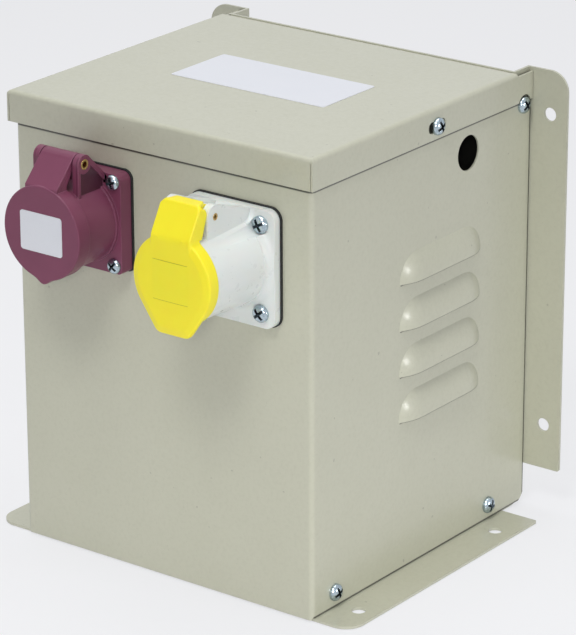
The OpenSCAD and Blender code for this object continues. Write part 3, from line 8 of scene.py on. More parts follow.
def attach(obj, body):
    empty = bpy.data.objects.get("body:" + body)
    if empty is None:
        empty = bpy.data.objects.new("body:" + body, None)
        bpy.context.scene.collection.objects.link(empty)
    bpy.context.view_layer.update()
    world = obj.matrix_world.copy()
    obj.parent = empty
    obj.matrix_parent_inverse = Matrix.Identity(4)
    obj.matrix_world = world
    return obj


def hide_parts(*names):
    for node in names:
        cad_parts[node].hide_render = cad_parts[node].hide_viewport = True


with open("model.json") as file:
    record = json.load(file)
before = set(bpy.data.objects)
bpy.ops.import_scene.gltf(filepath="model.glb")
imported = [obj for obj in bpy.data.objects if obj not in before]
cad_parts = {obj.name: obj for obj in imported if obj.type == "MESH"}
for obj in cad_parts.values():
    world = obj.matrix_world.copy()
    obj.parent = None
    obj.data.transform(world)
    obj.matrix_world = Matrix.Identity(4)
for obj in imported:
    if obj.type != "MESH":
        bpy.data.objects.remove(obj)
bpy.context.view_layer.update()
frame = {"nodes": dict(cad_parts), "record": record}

nodes = frame["nodes"]
scene = bpy.context.scene
MM = 0.001


# Colours and materials
BEVEL_SAMPLES = 6
MIX_A, MIX_B, MIX_RESULT = 6, 7, 2  # colour sockets of a mix node
NOISE_LOW, NOISE_HIGH = 0.3, 0.7  # the usual range of a noise texture
# Painted edge highlight: it starts and becomes full at these cosines
EDGE_START, EDGE_FULL = 0.985, 0.88  # cosine between the flat and the rounded normal
EDGE_RADIUS = 0.00035
# Share of the shade colour in the painted shade of recesses
PAINTED_SHADE_SHARE = 0.55
# Softness of the edges of the painted shade lines
SHADE_LINE_SOFT = 0.0003


def lin(r, g, b):
    """An sRGB colour, 0 to 255, as linear values."""
    def one(c):
        c /= 255
        return c / 12.92 if c <= 0.04045 else ((c + 0.055) / 1.055) ** 2.4
    return (one(r), one(g), one(b), 1.0)


class Mat:
    """A principled material whose colour, roughness and bump come from procedural nodes."""

    def __init__(self, name, rgb, rough, metallic=0.0, **sockets):
        packed = bpy.data.materials.get(name)
        if packed:  # the frame's own material makes way for this one
            packed.name = "packed_" + name
        self.mat = bpy.data.materials.new(name)
        self.mat.use_nodes = True
        self.t = self.mat.node_tree
        self.n = self.t.nodes
        self.bsdf = self.n["Principled BSDF"]
        self.bsdf.inputs["Metallic"].default_value = metallic
        self.bsdf.inputs["Roughness"].default_value = rough
        for key, value in sockets.items():
            self.bsdf.inputs[key.replace("_", " ")].default_value = value
        self.coord = self.n.new("ShaderNodeTexCoord").outputs["Object"]
        rgb_node = self.n.new("ShaderNodeRGB")
        rgb_node.outputs[0].default_value = lin(*rgb)
        self.colour = rgb_node.outputs[0]
        self.normal = None
        self.rough = None
        self.mat.diffuse_color = lin(*rgb)

    def link(self, a, b):
        self.t.links.new(a, b)

    def axis(self, k):
        axes = self.n.new("ShaderNodeSeparateXYZ")
        self.link(self.coord, axes.inputs[0])
        return axes.outputs[k]

    def times(self, a, b):
        m = self.n.new("ShaderNodeMath")
        m.operation = "MULTIPLY"
        self.link(a, m.inputs[0])
        self.link(b, m.inputs[1])
        return m.outputs[0]

    def within(self, low, high, soft=0.0001):
        """1 inside a box in the frame's metres, 0 outside it."""
        mask = None
        for k in range(3):
            for edge, sign in ((low[k], 1), (high[k], -1)):
                side = self.ramp(self.axis(k), edge - sign * soft, edge + sign * soft)
                mask = side if mask is None else self.times(mask, side)
        return mask

    def bevel(self, radius):
        """Normals that run round the edges."""
        b = self.n.new("ShaderNodeBevel")
        b.samples = BEVEL_SAMPLES
        b.inputs["Radius"].default_value = radius
        return b.outputs[0]

    def round_edges(self, radius):
        self.normal = self.bevel(radius)

    def painted_edge_highlights(self, rgb, strength):
        """Painted highlight: lighter colour along edges, where the rounded normal leaves the flat one."""
        rounded = self.bevel(EDGE_RADIUS)
        flat = self.n.new("ShaderNodeNewGeometry").outputs["Normal"]
        dot = self.n.new("ShaderNodeVectorMath")
        dot.operation = "DOT_PRODUCT"
        self.link(rounded, dot.inputs[0])
        self.link(flat, dot.inputs[1])
        self.tint(self.ramp(dot.outputs["Value"], EDGE_START, EDGE_FULL), rgb, strength)

    def noise(self, scale, detail, rough):
        t = self.n.new("ShaderNodeTexNoise")
        t.inputs["Scale"].default_value = scale
        t.inputs["Detail"].default_value = detail
        t.inputs["Roughness"].default_value = rough
        self.link(self.coord, t.inputs["Vector"])
        return t.outputs["Fac"]

    def wave(self, scale, axis, distortion, detail):
        t = self.n.new("ShaderNodeTexWave")
        t.bands_direction = axis
        t.inputs["Scale"].default_value = scale
        t.inputs["Distortion"].default_value = distortion
        t.inputs["Detail"].default_value = detail
        self.link(self.coord, t.inputs["Vector"])
        return t.outputs["Fac"]

    def ramp(self, fac, low, high, out_low=0.0, out_high=1.0):
        r = self.n.new("ShaderNodeMapRange")
        r.inputs["From Min"].default_value = low
        r.inputs["From Max"].default_value = high
        r.inputs["To Min"].default_value = out_low
        r.inputs["To Max"].default_value = out_high
        self.link(fac, r.inputs["Value"])
        return r.outputs[0]

    def tint(self, fac, rgb, strength):
        """Lays another colour over the base colour where fac is 1."""
        m = self.n.new("ShaderNodeMix")
        m.data_type = "RGBA"
        self.link(self.ramp(fac, 0, 1, 0, strength), m.inputs[0])
        self.link(self.colour, m.inputs[MIX_A])
        m.inputs[MIX_B].default_value = lin(*rgb)
        self.colour = m.outputs[MIX_RESULT]

    def bump(self, height, distance, strength):
        b = self.n.new("ShaderNodeBump")
        b.inputs["Strength"].default_value = strength
        b.inputs["Distance"].default_value = distance
        self.link(height, b.inputs["Height"])
        if self.normal is not None:
            self.link(self.normal, b.inputs["Normal"])
        self.normal = b.outputs[0]

    def roughness(self, fac, low, high):
        self.rough = self.ramp(fac, NOISE_LOW, NOISE_HIGH, low, high)

    def done(self):
        self.link(self.colour, self.bsdf.inputs["Base Color"])
        if self.rough is not None:
            self.link(self.rough, self.bsdf.inputs["Roughness"])
        if self.normal is not None:
            self.link(self.normal, self.bsdf.inputs["Normal"])
        return self.mat


def paint_material(name="case_paint", shade_lines=(), inside=None):
    """Sprayed paint with a fine grain. The line boxes get painted shade: under the lid's lip, in the gaps
    between the sheets and under the louvres. inside is the box of the room within the case, which gets
    painted shade."""
    m = Mat(name, (196, 196, 177), 0.42, Coat_Weight=0.5, Coat_Roughness=0.19)
    m.round_edges(0.0005)
    m.tint(m.ramp(m.noise(14, 4, 0.6), 0.35, 0.7), (186, 186, 165), 0.3)
    m.tint(m.ramp(m.noise(420, 3, 0.6), 0.45, 0.75), (178, 178, 158), 0.28)
    m.tint(m.ramp(m.noise(1300, 2, 0.5), 0.68, 0.74), (134, 133, 116), 0.2)
    m.tint(m.ramp(m.noise(240, 1, 0.4), 0.795, 0.805), (96, 93, 80), 0.3)
    # painted shade along lines
    for low, high in shade_lines:
        m.tint(m.within(low, high, SHADE_LINE_SOFT), (34, 34, 29), 0.9)
    # painted shade on the room inside the case
    if inside:
        m.tint(m.within(*inside), (48, 48, 45), 1.0)
    m.bump(m.noise(900, 2, 0.5), 0.00010, 0.5)
    m.bump(m.noise(260, 2, 0.5), 0.00018, 0.35)
    m.roughness(m.noise(330, 3, 0.6), 0.34, 0.5)
    return m.done()


def moulded(name, rgb, shade, rough, weight=0.0, radius=0.0005, edge=None, highlight_strength=0.5, shaded_boxes=(),
            **sockets):
    """Moulded plastic: cloudy colour, faint flow marks, fine grain, a painted highlight along the edges and
    painted shade in recesses. weight is that of the light that goes through it."""
    m = Mat(name, rgb, rough, Subsurface_Weight=weight, Subsurface_Scale=0.002, **sockets)
    m.round_edges(radius)
    m.tint(m.ramp(m.noise(55, 3, 0.5), 0.35, 0.7), shade, 0.35)
    m.tint(m.ramp(m.noise(700, 2, 0.6), 0.6, 0.75), shade, 0.08)
    # painted highlight along the edges, in the edge colour
    if edge:
        m.painted_edge_highlights(edge, highlight_strength)
    # painted shade in recesses
    for low, high in shaded_boxes:
        m.tint(m.within(low, high), tuple(PAINTED_SHADE_SHARE * c for c in shade), 0.75)
    m.bump(m.noise(2200, 2, 0.5), 0.00003, 0.35)
    m.bump(m.noise(130, 2, 0.5), 0.00012, 0.2)
    m.roughness(m.noise(180, 3, 0.6), rough - 0.05, rough + 0.1)
    return m.done()


def metal(name, rgb, shade, rough):
    m = Mat(name, rgb, rough, 1.0)
    m.round_edges(0.0002)
    m.tint(m.ramp(m.noise(600, 3, 0.6), 0.4, 0.7), shade, 0.5)
    m.tint(m.ramp(m.noise(2600, 2, 0.6), 0.6, 0.72), shade, 0.4)
    m.bump(m.noise(1600, 2, 0.6), 0.00002, 0.35)
    m.roughness(m.noise(900, 3, 0.6), rough - 0.06, rough + 0.12)
    return m.done()


def rubber_material():
    m = Mat("black_rubber", (26, 27, 29), 0.6)
    m.tint(m.ramp(m.noise(500, 3, 0.6), 0.45, 0.7), (48, 48, 50), 0.5)
    m.bump(m.noise(1500, 2, 0.6), 0.00006, 0.5)
    m.roughness(m.noise(300, 3, 0.6), 0.5, 0.72)
    return m.done()


def plate_material():
    m = Mat("label_plate", (227, 229, 235), 0.28)
    m.round_edges(0.0002)
    m.tint(m.ramp(m.noise(30, 3, 0.5), 0.35, 0.7), (221, 224, 232), 0.3)
    m.tint(m.ramp(m.noise(1800, 2, 0.6), 0.6, 0.75), (205, 208, 216), 0.35)
    m.bump(m.noise(700, 2, 0.6), 0.00002, 0.4)
    m.roughness(m.noise(90, 3, 0.6), 0.28, 0.34)
    return m.done()


def lamination_material():
    m = Mat("core_steel", (96, 100, 106), 0.45, 0.9)
    lines = m.wave(620, "Y", 0.4, 2)
    m.tint(m.ramp(lines, 0.35, 0.5, 1, 0), (46, 48, 52), 0.8)
    m.tint(m.ramp(m.noise(60, 4, 0.6), 0.45, 0.7), (112, 84, 66), 0.4)
    m.bump(lines, 0.0001, 0.5)
    m.roughness(m.noise(200, 3, 0.6), 0.38, 0.6)
    return m.done()


def winding_material():
    m = Mat("copper_wire", (176, 92, 48), 0.3)
    lines = m.wave(420, "Z", 0.2, 1)
    m.tint(m.ramp(lines, 0.2, 0.45, 1, 0), (104, 44, 22), 0.85)
    m.tint(m.ramp(m.noise(90, 3, 0.5), 0.4, 0.7), (104, 44, 22), 0.35)
    m.bump(lines, 0.0004, 0.9)
    m.roughness(m.noise(240, 2, 0.5), 0.24, 0.42)
    return m.done()


def film_material():
    m = Mat("insulation_film", (214, 188, 104), 0.42, Coat_Weight=0.25)
    m.tint(m.ramp(m.noise(25, 3, 0.6), 0.4, 0.7), (190, 158, 78), 0.6)
    m.tint(m.ramp(m.wave(95, "Z", 0.3, 1), 0.02, 0.1, 1, 0), (150, 120, 56), 0.7)
    m.bump(m.noise(160, 3, 0.6), 0.00035, 0.5)
    m.roughness(m.noise(80, 3, 0.6), 0.32, 0.55)
    return m.done()


def sleeve_material(name, rgb, shade):
    m = Mat(name, rgb, 0.38)
    m.tint(m.ramp(m.noise(260, 3, 0.5), 0.4, 0.7), shade, 0.55)
    m.bump(m.noise(900, 2, 0.5), 0.00005, 0.4)
    m.roughness(m.noise(300, 2, 0.5), 0.3, 0.46)
    return m.done()


# edge is the colour of the purple's painted edge highlight
PURPLE_LOOK = {"rgb": (125, 65, 90), "shade": (110, 56, 78), "rough": 0.34, "edge": (184, 128, 158),
               "Specular_IOR_Level": 0.38}
YELLOW_LOOK = {"rgb": (254, 238, 40), "shade": (249, 230, 36), "rough": 0.38, "weight": 0.15}
PAINT = paint_material()
PURPLE = moulded("purple_plastic", **PURPLE_LOOK)
# Its last colour is the white's painted edge highlight
WHITE = moulded("white_plastic", (225, 229, 226), (219, 223, 220), 0.3, 0.1, 0.0007, (250, 252, 251))
# The edge colour and its strength give the yellow's painted edge highlight
YELLOW = moulded("yellow_plastic", radius=0.0006, edge=(255, 248, 130), highlight_strength=0.25, **YELLOW_LOOK)
PLATE = plate_material()
SCREW = metal("plated_screw", (190, 204, 212), (116, 134, 146), 0.16)
# Dark metal on the faces of the screws' cross recesses: painted shade
SCREW_RECESS_SHADE = metal("screw_recess", (58, 66, 72), (34, 38, 42), 0.4)
ZINC = metal("zinc_steel", (170, 174, 178), (128, 130, 132), 0.32)
SPRING = metal("spring_steel", (142, 148, 152), (104, 108, 112), 0.28)
BRASS = metal("brass", (222, 190, 128), (176, 138, 84), 0.26)
RUBBER = rubber_material()
CORE = lamination_material()
BLACK = moulded("black_plastic", (42, 43, 46), (30, 31, 33), 0.5)
COPPER = winding_material()
FILM = film_material()
CLAMP = moulded("clamp_paint", (62, 65, 70), (46, 48, 52), 0.45)
CREAM = moulded("cream_plastic", (228, 225, 212), (214, 209, 194), 0.42)
RED = sleeve_material("red_sleeve", (174, 52, 42), (140, 38, 32))
VIOLET = sleeve_material("violet_sleeve", (104, 58, 140), (82, 44, 112))
DARK = sleeve_material("dark_sleeve", (52, 53, 58), (36, 37, 40))
GREEN = sleeve_material("green_sleeve", (96, 158, 58), (196, 200, 60))
SLOT_MATERIALS = {m.name: m for m in (
    PAINT, PURPLE, WHITE, YELLOW, PLATE, SCREW, ZINC, SPRING, BRASS, RUBBER, CORE, BLACK, COPPER, FILM,
    CLAMP, CREAM, RED, VIOLET, DARK, GREEN)}
node_slot = {s["node"]: s["material_slot"] for s in frame["record"]["subparts"]}

for name, obj in nodes.items():
    obj.data.materials.clear()
    obj.data.materials.append(SLOT_MATERIALS[node_slot[name]])


def node_box(name):
    """Lowest and highest corner of a CAD node, in metres."""
    corners = [nodes[name].matrix_world @ Vector(c) for c in nodes[name].bound_box]
    return [[pick(c[i] for c in corners) for i in range(3)] for pick in (min, max)]


# Painted shade on the case paint, in metres: painted shadow under the lid's lip, painted shade in the gaps
# between the sheets and under the louvres, and painted shade on the room inside. The room ends within the
# thickness of the sheets round it
SHEET, SHADE_LINE, FAR = 0.0015, 0.0016, 1.0
ROOM_HALF, ROOM_FRONT, ROOM_TOP = 0.1020, 0.0010, 0.255
BASE_UP, BACK_SET = 0.015, 0.015  # the base panel's height, the back panel's distance from the wall
SIDE_LOW = 0.0018  # the side panels' lower edge
LOUVRES, LOUVRE_LOW, LOUVRE_PITCH, LOUVRE_Y, LOUVRE_HALF = 4, 0.1733, 0.0273, 0.0275, 0.0385
lip_low = node_box("top_lid")[0][2]
cover_low, cover_high = node_box("cover")
chassis_high = node_box("chassis")[1]
# Boxes of painted shade on the inner faces of the cover and of the chassis
room = ((-ROOM_HALF, cover_low[1] + ROOM_FRONT, SHEET / 2), (ROOM_HALF, cover_high[1] + SHEET / 2, ROOM_TOP))
chassis_room = ((-ROOM_HALF, cover_low[1], BASE_UP + SHEET / 2),
                (ROOM_HALF, chassis_high[1] - BACK_SET - SHEET / 2, ROOM_TOP))
# Painted shadow under the lid's lip, painted shade in the gap at the side panels' rear edge and along their
# lower edges on the base flange
shade_lines = [((-FAR, -FAR, lip_low - SHADE_LINE), (FAR, FAR, FAR)),
         ((ROOM_HALF, cover_high[1] - SHADE_LINE / 2, -FAR), (FAR, FAR, FAR)),
         ((ROOM_HALF, cover_low[1] + SHEET, -FAR), (FAR, FAR, SIDE_LOW + SHADE_LINE / 2)),
         ((-FAR, cover_low[1] + SHEET, -FAR), (-ROOM_HALF, FAR, SIDE_LOW + SHADE_LINE / 2))]
# painted shade under each louvre's lower edge
for k in range(LOUVRES):
    low = LOUVRE_LOW - k * LOUVRE_PITCH
    shade_lines.append(((-FAR, LOUVRE_Y - LOUVRE_HALF, low - SHADE_LINE / 2),
                  (FAR, LOUVRE_Y + LOUVRE_HALF, low + SHADE_LINE / 8)))
nodes["cover"].data.materials[0] = paint_material("cover_paint", shade_lines, room)
nodes["chassis"].data.materials[0] = paint_material("chassis_paint", (), chassis_room)


# Mesh helpers
ROUND_STEPS, RIM_STEPS = 48, 288  # points round a drum or screw, and round a lid
EDGE_PROFILE = 0.6
RIM_CORNER = 0.3  # where a rounded rim's middle point lies, as a share of its size


def mesh_object(name, bm):
    """A new object in the scene, made from a mesh that is used up."""
    mesh = bpy.data.meshes.new(name)
    bm.to_mesh(mesh)
    bm.free()
    obj = bpy.data.objects.new(name, mesh)
    scene.collection.objects.link(obj)
    return obj


def remove_object(obj):
    mesh = obj.data
    bpy.data.objects.remove(obj)
    bpy.data.meshes.remove(mesh)


def evaluated(obj):
    """The object with its modifiers applied."""
    bpy.context.view_layer.update()
    return obj.evaluated_get(bpy.context.evaluated_depsgraph_get())


def finish_mesh(name, bm, material, body, replaces=(), smooth=30, flat_faces=True):
    """A piece of the model: edges sharper than smooth, in degrees, stay crisp."""
    bmesh.ops.recalc_face_normals(bm, faces=bm.faces)
    obj = mesh_object(name, bm)
    obj.data.materials.append(material)
    for p in obj.data.polygons:
        p.use_smooth = True
    obj.data.set_sharp_from_angle(angle=math.radians(smooth))
    if flat_faces:
        mod = obj.modifiers.new("normals", "WEIGHTED_NORMAL")
        mod.keep_sharp = True
    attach(obj, body)
    if replaces:
        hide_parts(*replaces)
    return obj


def bridge_loops(bm, loops):
    """Closed skin through rings of points that all have the same count."""
    rings = [[bm.verts.new(p) for p in ring] for ring in loops]
    n = len(rings[0])
    for a, b in zip(rings, rings[1:]):
        for i in range(n):
            j = (i + 1) % n
            bm.faces.new((a[i], a[j], b[j], b[i]))
    bm.faces.new(rings[0][::-1])
    bm.faces.new(rings[-1])


def add_mesh(bm, part):
    """Adds a mesh to another one and uses it up."""
    mesh = bpy.data.meshes.new("part_tmp")
    part.to_mesh(mesh)
    part.free()
    bm.from_mesh(mesh)
    bpy.data.meshes.remove(mesh)


class Outlet:
    """Local frame of an outlet, in mm: x right, u up from the flange's middle, o out from the cover."""

    def __init__(self, x, z, front):
        self.x, self.z, self.front = x, z, front

    def p(self, x, u, o):
        return Vector(((self.x + x) * MM, (self.front - o) * MM, (self.z + u) * MM))


def outlet_at(gasket):
    """The frame of the outlet whose gasket, level with the cover's front, is this CAD node."""
    low, high = node_box(gasket)
    return Outlet((low[0] + high[0]) / 2 / MM, (low[2] + high[2]) / 2 / MM, high[1] / MM)


A24 = outlet_at("outlet_24v_gasket")
A110 = outlet_at("outlet_110v_gasket")


def span(side, inner, outer):
    """The x range of a form from inner to outer on one side of an outlet, 1 right and -1 left."""
    return sorted((side * inner, side * outer))


def prism(bm, outlet, plan, x0, x1, bevel=0.4, segments=3, cut=0.0):
    """Slab across an outlet from a plan of (out, up) points, with rounded edges. cut takes off its
    top corners."""
    part = bmesh.new()
    a = [part.verts.new(outlet.p(x0, u, o)) for o, u in plan]
    b = [part.verts.new(outlet.p(x1, u, o)) for o, u in plan]
    part.faces.new(a)
    part.faces.new(b[::-1])
    n = len(plan)
    for i in range(n):
        j = (i + 1) % n
        part.faces.new((a[i], b[i], b[j], a[j]))
    bmesh.ops.recalc_face_normals(part, faces=part.faces)
    if cut:
        top = max(u for o, u in plan)
        for x, s in ((x0 + cut, -1), (x1 - cut, 1)):
            bmesh.ops.bisect_plane(part, geom=part.verts[:] + part.edges[:] + part.faces[:],
                                   plane_co=outlet.p(x, top, 0), plane_no=(s, 0, 1), clear_outer=True)
            bmesh.ops.holes_fill(part, edges=[e for e in part.edges if e.is_boundary])
        bmesh.ops.recalc_face_normals(part, faces=part.faces)
    if bevel:
        bmesh.ops.bevel(part, geom=part.edges[:] + part.verts[:], offset=bevel * MM, segments=segments,
                        profile=EDGE_PROFILE, affect="EDGES", clamp_overlap=True)
    add_mesh(bm, part)


def drum(bm, outlet, out, up, r, x0, x1, bevel):
    """Round bar along X about (out, up), with rounded rims."""
    c = bevel * RIM_CORNER
    profile = [(x0, r - bevel), (x0 + c, r - c), (x0 + bevel, r),
               (x1 - bevel, r), (x1 - c, r - c), (x1, r - bevel)]
    loops = []
    for x, q in profile:
        loops.append([outlet.p(x, up + q * math.sin(2 * math.pi * k / ROUND_STEPS),
                               out + q * math.cos(2 * math.pi * k / ROUND_STEPS))
                      for k in range(ROUND_STEPS)])
    bridge_loops(bm, loops)


def blended(bm, voxel, steps, keep):
    """One skin round overlapping closed forms, with soft edges. voxel in mm, keep is the share of
    faces that stay."""
    obj = mesh_object("forms", bm)
    skin = obj.modifiers.new("skin", "REMESH")
    skin.mode = "VOXEL"
    skin.voxel_size = voxel * MM
    soft = obj.modifiers.new("soft", "SMOOTH")
    soft.factor, soft.iterations = 0.5, steps
    obj.modifiers.new("fewer", "DECIMATE").ratio = keep
    result = bmesh.new()
    result.from_mesh(evaluated(obj).data)
    remove_object(obj)
    return result


# Outlines of the lids. In all of them phi is measured from straight down, in radians
LID_110V_R, LID_110V_AXIS, LID_110V_BACK, LID_110V_FACE = 26.0, 3.0, 48.9, 57.8
TAB_HALF, TAB_DROP, TAB_BACK, TAB_SOFT = 10.6, 30.5, 53.4, 34
NECK_HALF, NECK_FOOT, NECK_FILLET, NECK_CUT = 13.2, 24.6, 4.0, 2.2
LID_24V_R, LID_24V_FACE, LID_24V_DEPTH = 26.9, 45.75, 9.45
POINT_24V, POINT_24V_ANGLE = 2.7, 8.5


def soft_min(a, b, power):
    return (a ** -power + b ** -power) ** (-1 / power)


def outline_round(phi, inset):
    """Distance from the axis to the yellow lid's round edge, with the hollow curves that lead into
    its neck."""
    a = math.pi - abs(phi)
    far = LID_110V_R + NECK_FILLET
    middle = math.asin((NECK_HALF + NECK_FILLET) / far)
    if a >= middle:
        return LID_110V_R - inset
    aside = far * math.sin(middle - a)
    if aside >= NECK_FILLET + inset:
        return max(LID_110V_R - inset, (NECK_FOOT - inset) / math.cos(a))
    curve = far * math.cos(middle - a) - math.sqrt((NECK_FILLET + inset) ** 2 - aside ** 2)
    return min(curve, NECK_FOOT / math.cos(a))


def outline_tab(phi, inset):
    """The same edge in the front of the lid, where the sides run straight down to a blunt tab."""
    tangent = math.atan2(TAB_HALF, TAB_DROP) + math.acos(LID_110V_R / math.hypot(TAB_HALF, TAB_DROP))
    if abs(phi) >= tangent:
        return outline_round(phi, inset)
    return soft_min((LID_110V_R - inset) / math.cos(tangent - abs(phi)),
                    (TAB_DROP - inset) / math.cos(phi), TAB_SOFT)


def outline_24v(phi, inset):
    """Distance from the axis to the purple lid's edge: a circle with a small point straight down."""
    return LID_24V_R - inset + POINT_24V * math.exp(-(math.degrees(phi) / POINT_24V_ANGLE) ** 2)


def lid_cup(bm, outlet, axis_up, profile, inner_r, back, inner_face):
    """Cup-shaped lid: a bored inside, then the outer profile of (out, inset, outline) from back to face."""
    def ring(o, dist):
        pts = []
        for k in range(RIM_STEPS):
            phi = 2 * math.pi * k / RIM_STEPS - math.pi
            d = dist(phi)
            pts.append(outlet.p(d * math.sin(phi), axis_up - d * math.cos(phi), o))
        return pts
    loops = [ring(inner_face, lambda phi: inner_r - 1.0), ring(inner_face, lambda phi: inner_r),
             ring(back, lambda phi: inner_r)]
    for o, inset, outline in profile:
        loops.append(ring(o, lambda phi, d=inset, edge=outline: edge(phi, d)))
    bridge_loops(bm, loops)
    bmesh.ops.remove_doubles(bm, verts=bm.verts, dist=1e-6)


# Yellow lid: one soft skin round a cup, a neck with cut corners, two side walls and two knuckles
NECK_TOP, ROOF_BACK, ROOF_HALF = (47.7, 44.9), 39.6, 8.85
WALL_110V, KNUCKLE_110V = (11.8, 13.15), (5.2, ROOF_HALF)
foot_up = LID_110V_AXIS + NECK_FOOT
lid = bmesh.new()
lid_cup(lid, A110, LID_110V_AXIS,
        [(o, inset, outline_round) for o, inset in (
            (LID_110V_BACK, 0.5), (49.05, 0.15), (49.4, 0.0), (TAB_BACK, 0.0))]
        + [(o, inset, outline_tab) for o, inset in (
            (TAB_BACK, 0.0), (56.0, 0.0), (56.35, 0.1), (56.6, 0.35), (56.8, 0.8), (57.45, 3.1),
            (57.66, 3.8), (57.76, 4.4), (LID_110V_FACE, 5.0))],
        inner_r=24.4, back=LID_110V_BACK, inner_face=55.2)
prism(lid, A110, [(LID_110V_FACE, 20.0), (LID_110V_FACE, foot_up - 2.6), (57.62, foot_up - 1.2),
                  (57.3, foot_up + 0.2), (56.7, foot_up + 1.5), NECK_TOP, (NECK_TOP[0] - 2.8, NECK_TOP[1]),
                  (52.4, 27.5), (52.4, 20.0)], -NECK_HALF, NECK_HALF,
      bevel=1.1, segments=5, cut=NECK_CUT)
for s in (-1, 1):
    prism(lid, A110, [(55.4, 22.1), (55.4, 28.2), (46.9, 42.4), (43.8, 42.4), (42.4, 40.3), (42.2, 38.4),
                      (46.56, 25.97), (48.9, 25.97), (48.9, 22.1)], *span(s, *WALL_110V), 0.35)
    prism(lid, A110, [(ROOF_BACK + 0.1, 43.6), (45.5, 43.6), (47.0, 36.2), (36.0, 31.0), (33.0, 40.4)],
          *span(s, *KNUCKLE_110V), 0.3)
    drum(lid, A110, 36.0, 36.2, 5.4, *span(s, *KNUCKLE_110V), 0.35)
flare = [(ROOF_HALF, ROOF_BACK), (NECK_HALF - NECK_CUT - 0.2, NECK_TOP[0] - 2.2)]
roof = bmesh.new()
bridge_loops(roof, [[A110.p(x, up, out) for x, out in flare + [(-x, out) for x, out in flare[::-1]]]
                    for up in (NECK_TOP[1] - 2.4, NECK_TOP[1])])
bmesh.ops.recalc_face_normals(roof, faces=roof.faces)
bmesh.ops.bevel(roof, geom=roof.edges[:] + roof.verts[:], offset=0.4 * MM, segments=3,
                profile=EDGE_PROFILE, affect="EDGES")
add_mesh(lid, roof)
lid = blended(lid, voxel=0.36, steps=6, keep=0.35)
finish_mesh("yellow_lid", lid, YELLOW, "lid_110v", ("outlet_110v_lid",), 60)

# Its slightly raised panel, with a fine line along the upper and the lower edge, where its step is darkened
# with painted shade
PANEL_HALF, PANEL_STEP, PANEL_DEEP, PANEL_SHADE_LINE = (11.75, 11.25), 0.2, 0.3, 0.2
# Boxes of painted shade along the panel's upper and lower edge
panel_shade_lines = []
for up in (LID_110V_AXIS + PANEL_HALF[1], LID_110V_AXIS - PANEL_HALF[1]):
    panel_shade_lines.append((A110.p(-PANEL_HALF[0], up - PANEL_SHADE_LINE, LID_110V_FACE + 1),
                    A110.p(PANEL_HALF[0], up + PANEL_SHADE_LINE, LID_110V_FACE - 1)))
PANEL = moulded("yellow_panel", radius=0.0001, shaded_boxes=panel_shade_lines, **YELLOW_LOOK)
panel = bmesh.new()
pillow = [(-PANEL_HALF[0], -PANEL_DEEP), (-PANEL_HALF[0], 0.0), (-PANEL_HALF[0] / 2, PANEL_STEP),
          (PANEL_HALF[0] / 2, PANEL_STEP), (PANEL_HALF[0], 0.0), (PANEL_HALF[0], -PANEL_DEEP)]
bridge_loops(panel, [[A110.p(x, LID_110V_AXIS + up, LID_110V_FACE + rise) for x, rise in pillow]
                     for up in (-PANEL_HALF[1], PANEL_HALF[1])])
finish_mesh("yellow_lid_panel", panel, PANEL, "lid_110v")

# Purple lid: its neck runs from a foot on the lid and touches the hinge knuckle
HINGE_24V, KNUCKLE_24V_R, NECK_24V_HALF, NECK_24V_T = (27.0, 37.6), 5.4, 11.2, 2.4
NECK_24V_FOOT = (LID_24V_FACE - 0.4, 26.4)
lid = bmesh.new()
lid_cup(lid, A24, 0.0,
        [(LID_24V_FACE - depth, inset, outline_24v) for depth, inset in (
            (LID_24V_DEPTH, 0.4), (9.3, 0.1), (8.95, 0.0), (0.9, 0.0), (0.45, 0.12), (0.15, 0.4),
            (0.04, 0.8), (0.0, 1.5))],
        inner_r=25.1, back=LID_24V_FACE - LID_24V_DEPTH, inner_face=LID_24V_FACE - 2.4)
run = (NECK_24V_FOOT[0] - HINGE_24V[0], NECK_24V_FOOT[1] - HINGE_24V[1])
turn = math.atan2(run[1], run[0]) + math.acos(KNUCKLE_24V_R / math.hypot(*run))
top = (HINGE_24V[0] + KNUCKLE_24V_R * math.cos(turn), HINGE_24V[1] + KNUCKLE_24V_R * math.sin(turn))
slope = (NECK_24V_FOOT[0] - top[0], NECK_24V_FOOT[1] - top[1])
wall = (slope[1] / math.hypot(*slope) * NECK_24V_T, -slope[0] / math.hypot(*slope) * NECK_24V_T)
prism(lid, A24, [(NECK_24V_FOOT[0], 22.0), NECK_24V_FOOT, top, (27.0, 42.8), (27.5, 39.0),
                 (top[0] + wall[0], top[1] + wall[1]),
                 (NECK_24V_FOOT[0] + wall[0], NECK_24V_FOOT[1] + wall[1]), (41.0, 22.0)],
      -NECK_24V_HALF, NECK_24V_HALF, 0.3)
for s in (-1, 1):
    prism(lid, A24, [(44.9, 22.0), (45.0, 26.2), (top[0], top[1] - 0.15), (31.5, 34.4), (36.4, 26.6),
                     (36.4, 22.0)], *span(s, 9.6, 11.15), 0.3)
drum(lid, A24, *HINGE_24V, KNUCKLE_24V_R, -NECK_24V_HALF, NECK_24V_HALF, 0.35)
finish_mesh("purple_lid", lid, PURPLE, "lid_24v", ("outlet_24v_lid",))


# Refined copies of the CAD housings
REFINE_ANGLE, REFINE_SEGMENTS = 35, 3
WELD, FLAT_ANGLE = 2e-5, 0.6  # metres within which points join, degrees up to which faces do
RECESS_24V_X, RECESS_24V_DEEP, RECESS_24V_UP, RECESS_24V_OUT = 14.9, 0.4, (19.0, 42.0), (33.0, 10.6)
EAR_110V_R, EAR_110V_OUTER, EAR_110V_MORE = 6.6, 13.65, 2.8
EAR_110V_ROOT, EAR_110V_LOW, EAR_110V_HIGH = 5.0, 17.0, 31.0


